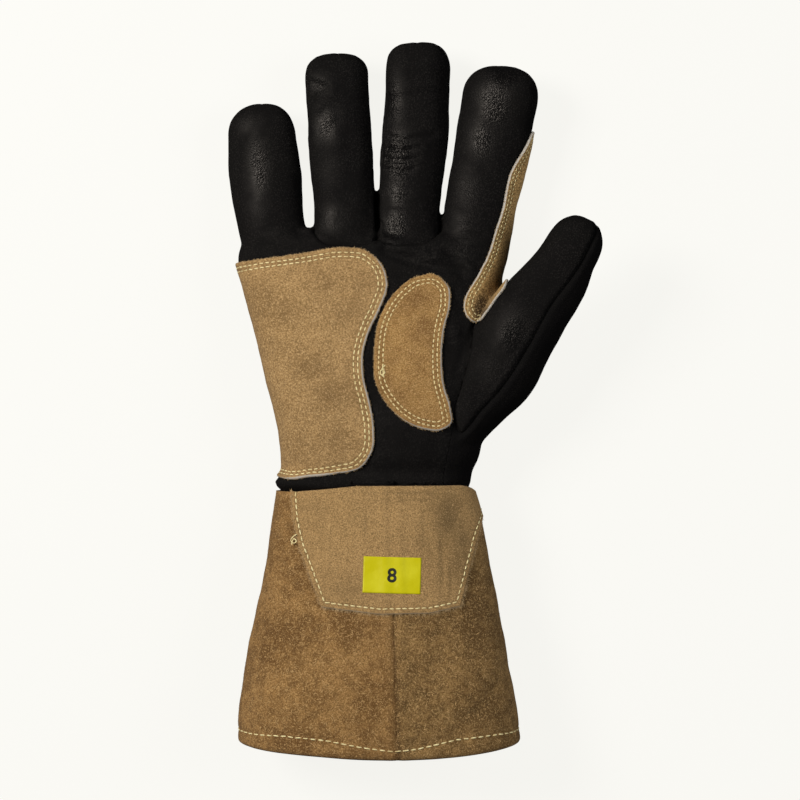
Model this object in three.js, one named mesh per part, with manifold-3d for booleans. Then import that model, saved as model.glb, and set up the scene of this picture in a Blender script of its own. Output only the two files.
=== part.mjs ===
// A right-hand MIG welding glove lying on its back, palm up, fingers towards +Y and thumb towards +X.
// The hand is a hollow leather shell, cut into the panels that it is sewn from. Suede patches lie on
// the palm side, and a flared split-leather gauntlet is sewn over the wrist. All sizes are in millimetres.
import * as THREE from 'three';
import { mergeVertices } from 'three/addons/utils/BufferGeometryUtils.js';
import Module from 'manifold-3d';

const wasm = await Module();
wasm.setup();

// Leather thicknesses, and the gap kept between pieces that touch
const HAND_WALL = 2.0;
const CUFF_WALL = 2.2;
const HEM_FOLD = 1.8;
const HEM_DEPTH = 9;
const PATCH = 1.5;
const LABEL = 0.5;
const GAP = 0.3;

// Distance below which neighbouring corners of a facet are one point
const SAME_POINT = 1e-4;

// Middle of the glove's outline on the surface that it lies on
const MIDDLE = { x: -0.3, y: 2.7 };

// Facets of the digits, webs, palm and gauntlet, rings of a rounded end with the share of a quarter turn that
// they cover, and reach of the cutting blocks
const DIGIT_SIDES = 14;
const WEB_SIDES = 8;
const PALM_SIDES = 28;
const CUFF_SIDES = 32;
const TIP_RINGS = 3;
const TIP_SHARE = 3.4;
const FAR = 250;

// Digits and the webs of leather between them: x, y, z is the middle of a section, w its half width
// and h its half height.
// The last section closes over a dome of length tip, and a higher power makes the dome blunter.
const DIGITS = {
  little: {
    tip: 16,
    power: 2.3,
    rows: [
      { x: -60.5, y: 52, z: 17.5, w: 14.0, h: 12.0 },
      { x: -64.0, y: 71, z: 15.0, w: 15.2, h: 12.4 },
      { x: -67.0, y: 88, z: 12.8, w: 15.9, h: 12.2 },
      { x: -69.3, y: 106, z: 12.2, w: 16.6, h: 12.0 },
      { x: -70.4, y: 122, z: 14.0, w: 15.6, h: 11.2 },
    ],
  },
  ring: {
    tip: 12,
    power: 2.9,
    rows: [
      { x: -30.4, y: 52, z: 18.0, w: 15.2, h: 12.5 },
      { x: -31.4, y: 76, z: 15.4, w: 14.6, h: 13.0 },
      { x: -32.6, y: 98, z: 12.8, w: 14.3, h: 12.7 },
      { x: -34.2, y: 121, z: 12.3, w: 14.6, h: 12.4 },
      { x: -36.0, y: 149, z: 15.2, w: 14.4, h: 11.0 },
    ],
  },
  middle: {
    tip: 14,
    power: 2.9,
    rows: [
      { x: -2.4, y: 52, z: 18.0, w: 14.8, h: 12.5 },
      { x: -2.6, y: 76, z: 15.4, w: 14.4, h: 13.0 },
      { x: -1.8, y: 98, z: 12.8, w: 14.2, h: 12.8 },
      { x: 0.3, y: 121, z: 12.3, w: 15.2, h: 12.5 },
      { x: 1.5, y: 152, z: 15.6, w: 14.6, h: 11.2 },
    ],
  },
  index: {
    tip: 16,
    power: 2.4,
    rows: [
      { x: 22.0, y: 50, z: 18.0, w: 15.0, h: 12.8 },
      { x: 27.2, y: 74, z: 15.6, w: 15.8, h: 13.0 },
      { x: 31.4, y: 97, z: 13.2, w: 15.9, h: 12.7 },
      { x: 35.9, y: 119, z: 12.8, w: 16.7, h: 12.3 },
      { x: 39.4, y: 139, z: 15.4, w: 16.6, h: 11.2 },
    ],
  },
  thumb: {
    tip: 19,
    power: 2.4,
    rows: [
      { x: 14.0, y: -24.0, z: 19.5, w: 9.0, h: 14.0 },
      { x: 20.6, y: -12.0, z: 20.5, w: 13.0, h: 17.0 },
      { x: 28.6, y: 1.5, z: 22.5, w: 16.4, h: 18.4 },
      { x: 38.4, y: 15.5, z: 25.5, w: 18.6, h: 17.6 },
      { x: 47.2, y: 29.0, z: 29.0, w: 17.4, h: 16.0 },
      { x: 56.0, y: 43.0, z: 33.5, w: 15.6, h: 14.6 },
      { x: 63.4, y: 55.0, z: 37.5, w: 14.4, h: 13.2 },
      { x: 70.0, y: 66.0, z: 41.0, w: 13.2, h: 11.8 },
    ],
  },
  littleWeb: {
    tip: 2,
    power: 2.4,
    sides: WEB_SIDES,
    rows: [
      { x: -50.0, y: 64, z: 16.6, w: 6.4, h: 10.2 },
      { x: -49.0, y: 78, z: 15.8, w: 4.5, h: 8.5 },
    ],
  },
  thumbWeb: {
    tip: 4,
    power: 2.4,
    sides: WEB_SIDES,
    rows: [
      { x: 29.0, y: 35.5, z: 19.2, w: 8.6, h: 10.8 },
      { x: 35.5, y: 45.5, z: 18.0, w: 7.0, h: 9.5 },
      { x: 39.0, y: 51.0, z: 17.5, w: 4.8, h: 7.5 },
    ],
  },
};
const DIGIT_ROUND = 2.3;

// Palm: left and right edge, back and front height, and how square each section across the hand is.
// The third section is the soft roll where the leather bulges over the gauntlet seam.
const PALM = [
  { y: -53.0, left: -60.2, right: 24.0, back: 3.0, front: 38.6, round: 2.3 },
  { y: -41.5, left: -60.2, right: 24.0, back: 3.0, front: 38.6, round: 2.3 },
  { y: -38.0, left: -63.4, right: 24.8, back: 0.6, front: 42.2, round: 2.4 },
  { y: -33.6, left: -60.8, right: 25.8, back: -0.4, front: 39.6, round: 2.5 },
  { y: -26.0, left: -60.2, right: 29.4, back: -1.0, front: 40.2, round: 2.6 },
  { y: -16.0, left: -60.8, right: 31.8, back: -1.4, front: 41.0, round: 2.7 },
  { y: 4.0, left: -65.0, right: 36.0, back: -1.6, front: 41.2, round: 2.7 },
  { y: 28.0, left: -70.6, right: 36.0, back: -1.4, front: 38.8, round: 2.7 },
  { y: 48.0, left: -75.6, right: 39.0, back: -0.6, front: 35.2, round: 2.7 },
  { y: 64.0, left: -78.8, right: 39.8, back: 1.2, front: 31.6, round: 2.7 },
];
const KNUCKLES = { reach: 15, power: 2.4, narrowing: 0.25 };
const WRIST_END = -50;

// Gauntlet, from the hem to the edge over the wrist. The hem's front and back run further by bow.
const CUFF = [
  { y: -155.5, left: -80.2, right: 48.2, back: -1.2, front: 57.0, bow: 5 },
  { y: -143.0, left: -80.4, right: 47.0, back: -1.2, front: 56.0, bow: 0 },
  { y: -118.0, left: -77.2, right: 42.6, back: -1.2, front: 53.0, bow: 0 },
  { y: -92.0, left: -72.0, right: 38.2, back: -1.2, front: 49.6, bow: 0 },
  { y: -64.0, left: -66.6, right: 32.8, back: -1.0, front: 45.8, bow: 0 },
  { y: -50.0, left: -64.4, right: 30.2, back: -0.6, front: 43.8, bow: 0 },
  { y: -41.0, left: -63.4, right: 27.2, back: 0.2, front: 42.2, bow: 0 },
];
const CUFF_ROUND = 2.3;
const CUT_REACH = 12;
const CUFF_SEAM = [
  [-11.6, -20],
  [-6.6, -180],
];

// Height of the seam that joins the palm side to the back, by its distance s along the hand
const SIDE_SEAM = [
  { s: -90, z: 19 },
  { s: 20, z: 19 },
  { s: 60, z: 16.6 },
  { s: 90, z: 13.8 },
  { s: 125, z: 12.6 },
  { s: 190, z: 17.4 },
];
const FOURCHETTE_HALF = 5.5;
const FOURCHETTE_REACH = 16;

// The thumb's side seam, by its distance along the thumb, which leans so many degrees from +Y
const THUMB_LEAN = 32;
const THUMB_SEAM = [
  { s: -60, z: 15 },
  { s: 20, z: 19 },
  { s: 50, z: 27 },
  { s: 105, z: 40 },
  { s: 140, z: 46 },
];

// Seams and patch edges, as seen from the palm side
const THUMB_OUTLINE = [
  [58, 78], [47, 64], [39, 51], [28, 36], [24.5, 20], [21.5, 8], [17, -16], [13.8, -33],
  [13.2, -FAR], [FAR, -FAR], [FAR, FAR], [68, FAR],
];
const THUMB_FRONT = [
  [58, 78], [47, 64], [39, 51], [28, 36], [24.5, 20], [21.5, 8], [18.8, -11], [20.3, -14],
  [30.8, -4], [40.2, 6.5], [50.2, 22], [62, 43.4], [74, 60], [82, 76], [88, FAR], [68, FAR],
];
const RING_FRONT = [
  [-46.6, 84], [-45, 77], [-41, 73], [-31.7, 71.8], [-21, 72.8], [-17, 75], [-17, 93], [-16, FAR], [-54, FAR],
];
const MIDDLE_FRONT = [
  [-17, 93], [-17, 75], [-13, 72.8], [-2, 72.4], [7, 74], [11.4, 78], [12.8, 88], [24, FAR], [-16, FAR],
];
const HEEL_PATCH = [
  [-FAR, 64], [-80, 64], [-52, 67], [-32, 69.4], [-22.5, 67.6], [-15.6, 62], [-12.8, 53],
  [-15.4, 41.6], [-21, 30.6], [-23.2, 21], [-22.6, 11], [-19.6, 0], [-17.8, -12], [-18.8, -22],
  [-24, -29.6], [-36, -33], [-48, -34.6], [-57, -35.6], [-62.5, -34.6], [-FAR, -34.6],
];
const HEEL_PATCH_DROP = 2;
const CENTRE_PATCH_RISE = 1;
const CENTRE_PATCH = [
  [-18.2, 23.6], [-15.8, 36.5], [-8.6, 48.6], [1.2, 56.6], [9.8, 57.4], [15.4, 52.6], [16.6, 44.6],
  [14.8, 32.8], [13.7, 23.6], [13.8, 9.9], [17.4, -3.9], [17.2, -9.4], [12.6, -13.2], [4.4, -13.2],
  [-5.1, -9.6], [-12.9, -1.8], [-17.1, 7.6],
];
const CROTCH_PATCH = [
  [54.3, 125], [50.1, 116.5], [46.4, 110.2], [43.1, 103.8], [42.1, 97.4], [40.5, 89], [36.8, 77.3],
  [34.7, 69.9], [31, 61.4], [26.8, 54], [23.6, 47.6], [23.2, 42.4], [25.7, 37.6], [28.9, 36.2],
  [32, 39.2], [36.8, 46.6], [41.1, 52.9], [46.2, 59.6], [54, 70], [64, 82], [64, 125],
];
const CROTCH_PATCH_LOW = 9;
const TAB = [
  [-55.4, -41.2], [-54.6, -53.6], [-52.2, -65], [-41.6, -92.6], [-15.4, -95.6], [6.8, -95.2],
  [20.2, -92.2], [29, -54], [28.6, -41.2],
];
const TAB_LOW = 24;
const LABEL_PLACE = { x: -10, y: -78, width: 26, height: 16.2, turn: -1.8 };

// A closed geometry as a solid for joining and cutting
function solidOf(geometry) {
  geometry.deleteAttribute('normal');
  geometry.deleteAttribute('uv');
  const merged = mergeVertices(geometry, SAME_POINT);
  return new wasm.Manifold(new wasm.Mesh({
    numProp: 3,
    vertProperties: merged.attributes.position.array,
    triVerts: new Uint32Array(merged.index.array),
  }));
}

function geometryOf(solid) {
  const { vertProperties, triVerts } = solid.getMesh();
  const geometry = new THREE.BufferGeometry();
  geometry.setAttribute('position', new THREE.BufferAttribute(vertProperties, 3));
  geometry.setIndex(new THREE.BufferAttribute(triVerts, 1));
  geometry.computeVertexNormals();
  return geometry;
}

const union = (solids) => solids.reduce((all, next) => all.add(next));

// The main body of a solid, without the loose slivers that a cut may leave
function mainBody(solid) {
  const bodies = solid.decompose();
  return bodies.reduce((best, next) => (next.volume() > best.volume() ? next : best));
}

// Joins rings of points, first to last, and closes both ends with a fan
function loft(rings) {
  const sides = rings[0].length;
  const positions = rings.flat().flatMap((point) => point.toArray());
  const faces = [];
  const corners = (r) => {
    const first = r * sides;
    return Array.from({ length: sides }, (_, i) => [first + i, first + ((i + 1) % sides)]);
  };
  for (let r = 0; r + 1 < rings.length; r++) {
    for (const [a, b] of corners(r)) {
      faces.push(a, a + sides, b, b, a + sides, b + sides);
    }
  }
  const close = (r, flip) => {
    const hub = positions.length / 3;
    const middle = rings[r].reduce((sum, point) => sum.add(point), new THREE.Vector3()).divideScalar(sides);
    positions.push(...middle.toArray());
    for (const [a, b] of corners(r)) {
      faces.push(hub, ...(flip ? [b, a] : [a, b]));
    }
  };
  close(0, false);
  close(rings.length - 1, true);
  const geometry = new THREE.BufferGeometry();
  geometry.setAttribute('position', new THREE.Float32BufferAttribute(positions, 3));
  geometry.setIndex(faces);
  return solidOf(geometry);
}

// A rounded section: a superellipse, squarer with a higher power
function section(middle, side, up, w, h, power, sides) {
  const bend = (value) => Math.sign(value) * Math.abs(value) ** (2 / power);
  return Array.from({ length: sides }, (_, i) => {
    const turn = (2 * Math.PI * i) / sides;
    return middle.clone()
      .addScaledVector(side, w * bend(Math.cos(turn)))
      .addScaledVector(up, h * bend(Math.sin(turn)));
  });
}

// Steps over a domed end: how far along each ring is, as a share of the dome's length
const QUARTER = Math.PI / 2;
const domeSteps = Array.from({ length: TIP_RINGS }, (_, k) => Math.sin(((k + 1) / TIP_SHARE) * QUARTER));
const domeShare = (step, power) => (1 - step ** power) ** (1 / power);

// A finger or thumb, with its surface moved out by grow
function digit({ tip, power, rows, sides = DIGIT_SIDES }, grow) {
  const up = new THREE.Vector3(0, 0, 1);
  const points = rows.map(({ x, y, z }) => new THREE.Vector3(x, y, z));
  const directions = points.map((_, i) => {
    const next = points[Math.min(i + 1, points.length - 1)];
    const before = points[Math.max(i - 1, 0)];
    return next.clone().sub(before).normalize();
  });
  const ring = (middle, along, w, h) => {
    const side = along.clone().cross(up).normalize();
    return section(middle, side, side.clone().cross(along), w, h, DIGIT_ROUND, sides);
  };
  const rings = rows.map(({ w, h }, i) => ring(points[i], directions[i], w + grow, h + grow));
  const end = points.at(-1);
  const along = directions.at(-1);
  const { w, h } = rows.at(-1);
  for (const step of domeSteps) {
    const middle = end.clone().addScaledVector(along, step * (tip + grow));
    rings.push(ring(middle, along, (w + grow) * domeShare(step, power), (h + grow) * domeShare(step, 2)));
  }
  return loft(rings);
}

// A section across the hand or the gauntlet, narrowed and lowered by the given shares
function across({ y, left, right, back, front, bow = 0 }, grow, round, sides, narrow = 1, low = 1) {
  const middle = new THREE.Vector3((left + right) / 2, y, (back + front) / 2);
  const w = (right - left) / 2 + grow;
  const h = (front - back) / 2 + grow;
  const sideways = new THREE.Vector3(1, 0, 0);
  const up = new THREE.Vector3(0, 0, 1);
  const points = section(middle, sideways, up, w * narrow, h * low, round, sides);
  return points.map((point) => point.setY(y - bow * ((point.z - middle.z) / h) ** 2));
}

// The palm, closed over the knuckles between the fingers
function palm(grow) {
  const rings = PALM.map((row) => across(row, grow, row.round, PALM_SIDES));
  const last = PALM.at(-1);
  for (const step of domeSteps) {
    const share = domeShare(step, KNUCKLES.power);
    const row = { ...last, y: last.y + step * (KNUCKLES.reach + grow) };
    rings.push(across(row, grow, last.round, PALM_SIDES, share ** KNUCKLES.narrowing, share));
  }
  return loft(rings);
}

// A block over a flat outline that is drawn as seen from the palm side
function block(outline, low = -FAR, high = FAR) {
  const shape = new THREE.Shape(outline.map(([x, y]) => new THREE.Vector2(x, y)));
  const geometry = new THREE.ExtrudeGeometry(shape, { depth: high - low, bevelEnabled: false });
  return solidOf(geometry.translate(0, 0, low));
}

// An outline with every edge moved out by grow
function grown(outline, grow) {
  const points = outline.map(([x, y]) => new THREE.Vector2(x, y));
  const outward = THREE.ShapeUtils.isClockWise(points) ? -1 : 1;
  const normal = (a, b) => new THREE.Vector2(b.y - a.y, a.x - b.x).normalize();
  return points.map((point, i) => {
    const before = normal(points.at(i - 1), point);
    const after = normal(point, points[(i + 1) % points.length]);
    const mitre = before.clone().add(after).divideScalar(1 + before.dot(after));
    return point.clone().addScaledVector(mitre, outward * grow).toArray();
  });
}

// Everything above a seam, whose height changes along a line that leans from +Y
function aboveSeam(seam, lift, lean = 0) {
  const line = seam.map(({ s, z }) => new THREE.Vector2(s, z + lift));
  line.push(new THREE.Vector2(seam.at(-1).s, FAR), new THREE.Vector2(seam[0].s, FAR));
  const shape = new THREE.Shape(line);
  const geometry = new THREE.ExtrudeGeometry(shape, { depth: 2 * FAR, bevelEnabled: false });
  geometry.translate(0, 0, -FAR).rotateX(Math.PI / 2).rotateZ(Math.PI / 2 - THREE.MathUtils.degToRad(lean));
  return solidOf(geometry);
}

const rectangle = (left, low, right, high) => [[left, low], [right, low], [right, high], [left, high]];
const aboveLevel = (z) => block(rectangle(-FAR, -FAR, FAR, FAR), z, FAR);

// The whole hand as one solid, pressed flat where it rests on the surface at z = 0
function hand(grow) {
  const digits = Object.values(DIGITS).map((table) => digit(table, grow));
  return union([palm(grow), ...digits]).intersect(aboveLevel(-grow));
}

// The gauntlet as one solid, run on past both ends by reach
function gauntlet(grow, reach = 0) {
  const rows = reach === 0 ? CUFF : [
    { ...CUFF[0], y: CUFF[0].y - reach },
    ...CUFF,
    { ...CUFF.at(-1), y: CUFF.at(-1).y + reach },
  ];
  return loft(rows.map((row) => across(row, grow, CUFF_ROUND, CUFF_SIDES))).intersect(aboveLevel(-grow));
}

// The strip between two neighbouring fingers, from the middle of one to the middle of the next
function fourchette(one, other) {
  const centreLine = ({ rows, tip }) => {
    const end = rows.at(-1);
    return [...rows.map(({ x, y }) => [x, y]), [end.x, end.y + tip + FOURCHETTE_REACH]];
  };
  const outline = [...centreLine(DIGITS[one]), ...centreLine(DIGITS[other]).reverse()];
  return (gap) => block(grown(outline, gap))
    .intersect(aboveSeam(SIDE_SEAM, -FOURCHETTE_HALF - gap))
    .subtract(aboveSeam(SIDE_SEAM, FOURCHETTE_HALF + gap));
}

const frontOf = (outline) => (gap) => block(grown(outline, gap)).intersect(aboveSeam(SIDE_SEAM, -gap));

// Panels of the hand in the order in which they are cut; each takes its region from what is left
const HAND_PANELS = {
  fourchette_little_ring: fourchette('little', 'ring'),
  fourchette_ring_middle: fourchette('ring', 'middle'),
  fourchette_middle_index: fourchette('middle', 'index'),
  thumb_front: (gap) => block(grown(THUMB_FRONT, gap)).intersect(aboveSeam(THUMB_SEAM, -gap, THUMB_LEAN)),
  thumb_back: (gap) => block(grown(THUMB_OUTLINE, gap)),
  ring_finger_front: frontOf(RING_FRONT),
  middle_finger_front: frontOf(MIDDLE_FRONT),
  palm_panel: (gap) => aboveSeam(SIDE_SEAM, -gap),
  back_panel: () => aboveLevel(-FAR),
};

function handPanels() {
  let rest = hand(0).subtract(hand(-HAND_WALL)).intersect(block(rectangle(-FAR, WRIST_END, FAR, FAR)));
  return Object.entries(HAND_PANELS).map(([name, region]) => {
    const panel = rest.intersect(region(0));
    rest = rest.subtract(region(GAP));
    return [name, panel];
  });
}

// A layer of leather that lies on a form, clear of it by a gap
const layerOn = (form, lift, thickness) => form(lift + thickness).subtract(form(lift));

function patches() {
  const suede = layerOn(hand, GAP, PATCH);
  return [
    ['heel_patch', suede.intersect(block(HEEL_PATCH)).intersect(aboveSeam(SIDE_SEAM, -HEEL_PATCH_DROP))],
    ['centre_patch', suede.intersect(block(CENTRE_PATCH)).intersect(aboveSeam(SIDE_SEAM, CENTRE_PATCH_RISE))],
    ['crotch_patch', suede.intersect(block(CROTCH_PATCH, CROTCH_PATCH_LOW))],
  ];
}

// The two gauntlet panels, with the hem turned in and sewn down inside the mouth
function cuffPanels() {
  const hem = block(rectangle(-FAR, -FAR, FAR, CUFF[0].y + HEM_DEPTH));
  const inside = gauntlet(-CUFF_WALL, CUT_REACH).subtract(hem);
  const hollow = inside.add(gauntlet(-CUFF_WALL - HEM_FOLD, CUT_REACH));
  const leather = gauntlet(0).subtract(hollow);
  const side = (x) => [...CUFF_SEAM, [x, CUFF_SEAM[1][1]], [x, CUFF_SEAM[0][1]]];
  return [
    ['cuff_left', leather.subtract(block(grown(side(FAR), GAP / 2)))],
    ['cuff_right', leather.subtract(block(grown(side(-FAR), GAP / 2)))],
  ];
}

function tabAndLabel() {
  const { x, y, width, height, turn } = LABEL_PLACE;
  const middle = new THREE.Vector2(x, y);
  const outline = rectangle(x - width / 2, y - height / 2, x + width / 2, y + height / 2).map((corner) => {
    return new THREE.Vector2(...corner).rotateAround(middle, THREE.MathUtils.degToRad(turn)).toArray();
  });
  return [
    ['cuff_tab', layerOn(gauntlet, GAP, PATCH).intersect(block(TAB, TAB_LOW))],
    ['size_label', layerOn(gauntlet, 2 * GAP + PATCH, LABEL).intersect(block(outline, TAB_LOW))],
  ];
}

const blackGrain = { color: 0x1d1b1a, roughness: 0.5, metalness: 0 };
const blackSplit = { color: 0x141313, roughness: 0.9, metalness: 0 };
const tanSuede = { color: 0xa98857, roughness: 0.95, metalness: 0 };
const goldSuede = { color: 0x94703f, roughness: 0.95, metalness: 0 };
const brownSplit = { color: 0x8a6840, roughness: 0.95, metalness: 0 };
const darkSplit = { color: 0x785c39, roughness: 0.95, metalness: 0 };
const yellowLabel = { color: 0xc6c414, roughness: 0.5, metalness: 0 };
const FINISH = {
  thumb_back: blackSplit,
  heel_patch: tanSuede,
  centre_patch: goldSuede,
  crotch_patch: tanSuede,
  cuff_left: brownSplit,
  cuff_right: darkSplit,
  cuff_tab: tanSuede,
  size_label: yellowLabel,
};

const glove = new THREE.Group();
for (const [name, solid] of [...handPanels(), ...patches(), ...cuffPanels(), ...tabAndLabel()]) {
  const material = new THREE.MeshStandardMaterial(FINISH[name] ?? blackGrain);
  const mesh = new THREE.Mesh(geometryOf(mainBody(solid)), material);
  mesh.name = name;
  glove.add(mesh);
}

// The origin is at the middle of the surface that the glove covers
glove.position.set(-MIDDLE.x, -MIDDLE.y, 0);

export default glove;
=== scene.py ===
"""A right-hand MIG welding glove, lying on its back with the palm up."""

import bpy
import numpy as np
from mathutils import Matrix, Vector, noise
from mathutils.bvhtree import BVHTree
from mathutils.kdtree import KDTree


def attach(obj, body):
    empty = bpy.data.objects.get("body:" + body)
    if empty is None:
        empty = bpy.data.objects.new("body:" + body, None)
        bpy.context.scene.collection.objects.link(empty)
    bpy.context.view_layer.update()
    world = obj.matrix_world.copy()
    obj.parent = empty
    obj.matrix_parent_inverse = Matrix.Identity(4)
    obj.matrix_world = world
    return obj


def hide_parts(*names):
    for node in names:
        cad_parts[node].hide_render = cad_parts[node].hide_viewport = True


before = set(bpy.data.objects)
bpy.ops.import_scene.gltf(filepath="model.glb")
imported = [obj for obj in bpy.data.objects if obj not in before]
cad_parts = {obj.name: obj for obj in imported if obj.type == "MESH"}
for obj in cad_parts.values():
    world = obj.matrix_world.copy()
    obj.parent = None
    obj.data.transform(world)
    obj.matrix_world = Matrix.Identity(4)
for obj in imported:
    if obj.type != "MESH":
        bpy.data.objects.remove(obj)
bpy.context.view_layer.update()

# The table is a white board under two softboxes, the stronger one on the little finger's side. The
# camera looks straight down at the palm from 1.1 m above it. Shadows stay faint.
SENSOR = 36
LENS = 107.8
CAMERA_PLACE = (-0.0061, -0.0020, 1.125)
TABLE_REACH = 4.0
TABLE_LEVEL = -0.0004
ROOM_LIGHT = (0.045, 0.045, 0.046, 1)
ROOM_SEEN = (0.93, 0.925, 0.89, 1)
scene = bpy.context.scene
scene.view_settings.view_transform = "Standard"
camera = bpy.data.objects.new("camera", bpy.data.cameras.new("camera"))
camera.data.sensor_width = SENSOR
camera.data.lens = LENS
camera.location = CAMERA_PLACE
scene.collection.objects.link(camera)
scene.camera = camera


def softbox(name, place, size, power, colour):
    """A square light that faces the glove."""
    light = bpy.data.lights.new(name, "AREA")
    light.size = size
    light.energy = power
    light.color = colour
    lamp = bpy.data.objects.new(name, light)
    lamp.location = place
    lamp.rotation_euler = (-Vector(place)).to_track_quat("-Z", "Y").to_euler()
    scene.collection.objects.link(lamp)
    return lamp


softbox("key_softbox", (-0.72, 0.34, 0.78), 0.42, 15.0, (1.0, 0.97, 0.93))
fill = softbox("fill_softbox", (0.80, 0.10, 0.74), 0.55, 6.5, (0.97, 0.98, 1.0))
fill.visible_glossy = False


def node(tree, kind, inputs, **settings):
    """A shader node. Each input is a value, or the output of another node that it is joined to."""
    made = tree.nodes.new("ShaderNode" + kind)
    for setting, value in settings.items():
        setattr(made, setting, value)
    for place, value in inputs.items():
        if isinstance(value, bpy.types.NodeSocket):
            tree.links.new(value, made.inputs[place])
        else:
            made.inputs[place].default_value = value
    return made


def mixed(tree, share, one, other):
    """One colour turning into another by a share from 0 to 1."""
    return node(tree, "Mix", {0: share, 6: one, 7: other}, data_type="RGBA").outputs[2]


scene.world = bpy.data.worlds.new("room")
scene.world.use_nodes = True
room = scene.world.node_tree
seen = node(room, "LightPath", {}).outputs["Is Camera Ray"]
room.nodes["Background"].inputs["Strength"].default_value = 1.0
room.links.new(mixed(room, seen, ROOM_LIGHT, ROOM_SEEN), room.nodes["Background"].inputs["Color"])

board = bpy.data.materials.new("white_board")
board.use_nodes = True
paint = board.node_tree.nodes["Principled BSDF"]
paint.inputs["Base Color"].default_value = (0.06, 0.06, 0.059, 1)
paint.inputs["Roughness"].default_value = 0.9
paint.inputs["Specular IOR Level"].default_value = 0.1
paint.inputs["Emission Color"].default_value = (0.930, 0.922, 0.880, 1)
paint.inputs["Emission Strength"].default_value = 0.955
table_mesh = bpy.data.meshes.new("table")
table_corners = [
    (x * TABLE_REACH, y * TABLE_REACH, TABLE_LEVEL) for x, y in ((-1, -1), (1, -1), (1, 1), (-1, 1))
]
table_mesh.from_pydata(table_corners, [], [(0, 1, 2, 3)])
table_mesh.materials.append(board)
table_top = bpy.data.objects.new("table", table_mesh)
scene.collection.objects.link(table_top)
# The board doesn't throw light back onto the black leather
table_top.visible_diffuse = False
table_top.visible_glossy = False

# The hand is a bag of thin goatskin with four fingers and a thumb. Its shape is made first as one closed
# form in millimetres, on which the panels and patches are then cut.
MIDDLE = np.array([-0.3, 2.7, 0.0])
DIGIT_ROUND = 2.3
FORM_GRAIN = 1.0
# Each digit, and each web between two: the length of its tip, how blunt it is, and rows of x, y, z, half
# width and half height
DIGITS = {
    "little": (16, 2.3, [
        (-60.5, 52, 17.5, 14.0, 12.0), (-64.0, 71, 15.0, 15.0, 12.4), (-67.0, 88, 12.8, 15.9, 12.2),
        (-69.2, 106, 12.2, 16.9, 12.0), (-70.3, 122, 14.0, 15.9, 11.2)]),
    "ring": (12, 2.7, [
        (-30.4, 52, 18.0, 15.2, 12.5), (-31.4, 76, 15.4, 14.6, 13.0), (-32.6, 98, 12.8, 14.3, 12.7),
        (-34.3, 121, 12.3, 14.7, 12.4), (-35.4, 149, 15.2, 14.5, 11.0)]),
    "middle": (14, 2.9, [
        (-2.4, 52, 18.0, 14.8, 12.5), (-2.6, 76, 15.4, 14.5, 13.0), (-1.8, 98, 12.8, 14.35, 12.8),
        (0.6, 121, 12.3, 15.4, 12.5), (1.8, 152, 15.6, 14.8, 11.2)]),
    "index": (16, 2.4, [
        (22.0, 50, 18.0, 15.0, 12.8), (27.4, 74, 15.6, 15.8, 13.0), (31.6, 97, 13.2, 15.9, 12.7),
        (36.2, 119, 12.8, 17.2, 12.3), (39.8, 139.5, 15.4, 17.6, 11.2)]),
    "thumb": (19, 2.4, [
        (14.0, -24.0, 19.5, 9.0, 14.0), (20.6, -12.0, 20.5, 13.0, 17.0), (28.6, 1.5, 22.5, 16.4, 18.4),
        (38.4, 15.5, 25.5, 19.0, 17.6), (46.6, 29.3, 29.0, 18.0, 16.0), (55.3, 43.3, 33.5, 16.9, 14.6),
        (63.9, 55.0, 37.5, 15.2, 13.2), (69.8, 66.0, 41.0, 12.8, 11.8)]),
    "thumb_web": (4, 2.4, [
        (24.0, 28.0, 17.5, 9.0, 11.5), (30.0, 37.0, 16.0, 8.5, 9.5), (35.0, 44.5, 15.0, 7.2, 8.5),
        (38.4, 48.9, 14.5, 5.0, 7.0)]),
    "little_web": (2, 2.4, [(-50.0, 64, 16.6, 6.4, 10.2), (-49.0, 78.4, 15.8, 4.6, 8.5)]),
}
# The palm from the wrist to the knuckles: y, left, right, back, front and squareness
PALM = [
    (-53.0, -60.4, 24.0, 2.8, 38.6, 2.3), (-41.5, -60.4, 24.2, 2.8, 38.8, 2.3),
    (-37.6, -64.2, 26.0, 0.4, 42.4, 2.4), (-33.0, -60.6, 26.6, -0.4, 39.0, 2.5),
    (-26.0, -60.2, 29.8, -1.0, 40.2, 2.6), (-16.0, -60.8, 31.8, -1.4, 41.0, 2.7),
    (4.0, -65.4, 36.0, -1.6, 41.2, 2.7), (28.0, -71.4, 36.0, -1.4, 38.8, 2.7),
    (48.0, -76.8, 39.0, -0.6, 35.2, 2.7), (64.0, -81.2, 39.8, 1.2, 31.6, 2.7),
]
KNUCKLE_REACH = 15
KNUCKLE_ROUND = 2.4
KNUCKLE_NARROWING = 0.25
DIGIT_COUNT = 64
PALM_COUNT = 160
ROW_STEP = 2.0
ACROSS = np.array([1.0, 0, 0])
UPWARDS = np.array([0, 0, 1.0])
# Rounds of evening out the whole form, and then the crotch of the thumb, within some reach of its middle
FORM_ROUNDS = 4
CROTCH_ROUNDS = 90
CROTCH = (37.0, 47.0, 19.0)
CROTCH_REACH = 9.5


def fair(at, rows, step):
    """Rows of sizes at the given places, run smoothly from one to the next about every step."""
    at, rows = np.asarray(at, float), np.asarray(rows, float)
    slope = np.gradient(rows, at, axis=0)
    places = np.linspace(at[0], at[-1], int((at[-1] - at[0]) / step) + 1)
    i = np.clip(np.searchsorted(at, places, "right") - 1, 0, len(at) - 2)
    span = (at[i + 1] - at[i])[:, None]
    t = (places - at[i])[:, None] / span
    near = (2 * t**3 - 3 * t**2 + 1) * rows[i] + (t**3 - 2 * t**2 + t) * span * slope[i]
    far = (3 * t**2 - 2 * t**3) * rows[i + 1] + (t**3 - t**2) * span * slope[i + 1]
    return places, near + far


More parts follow.
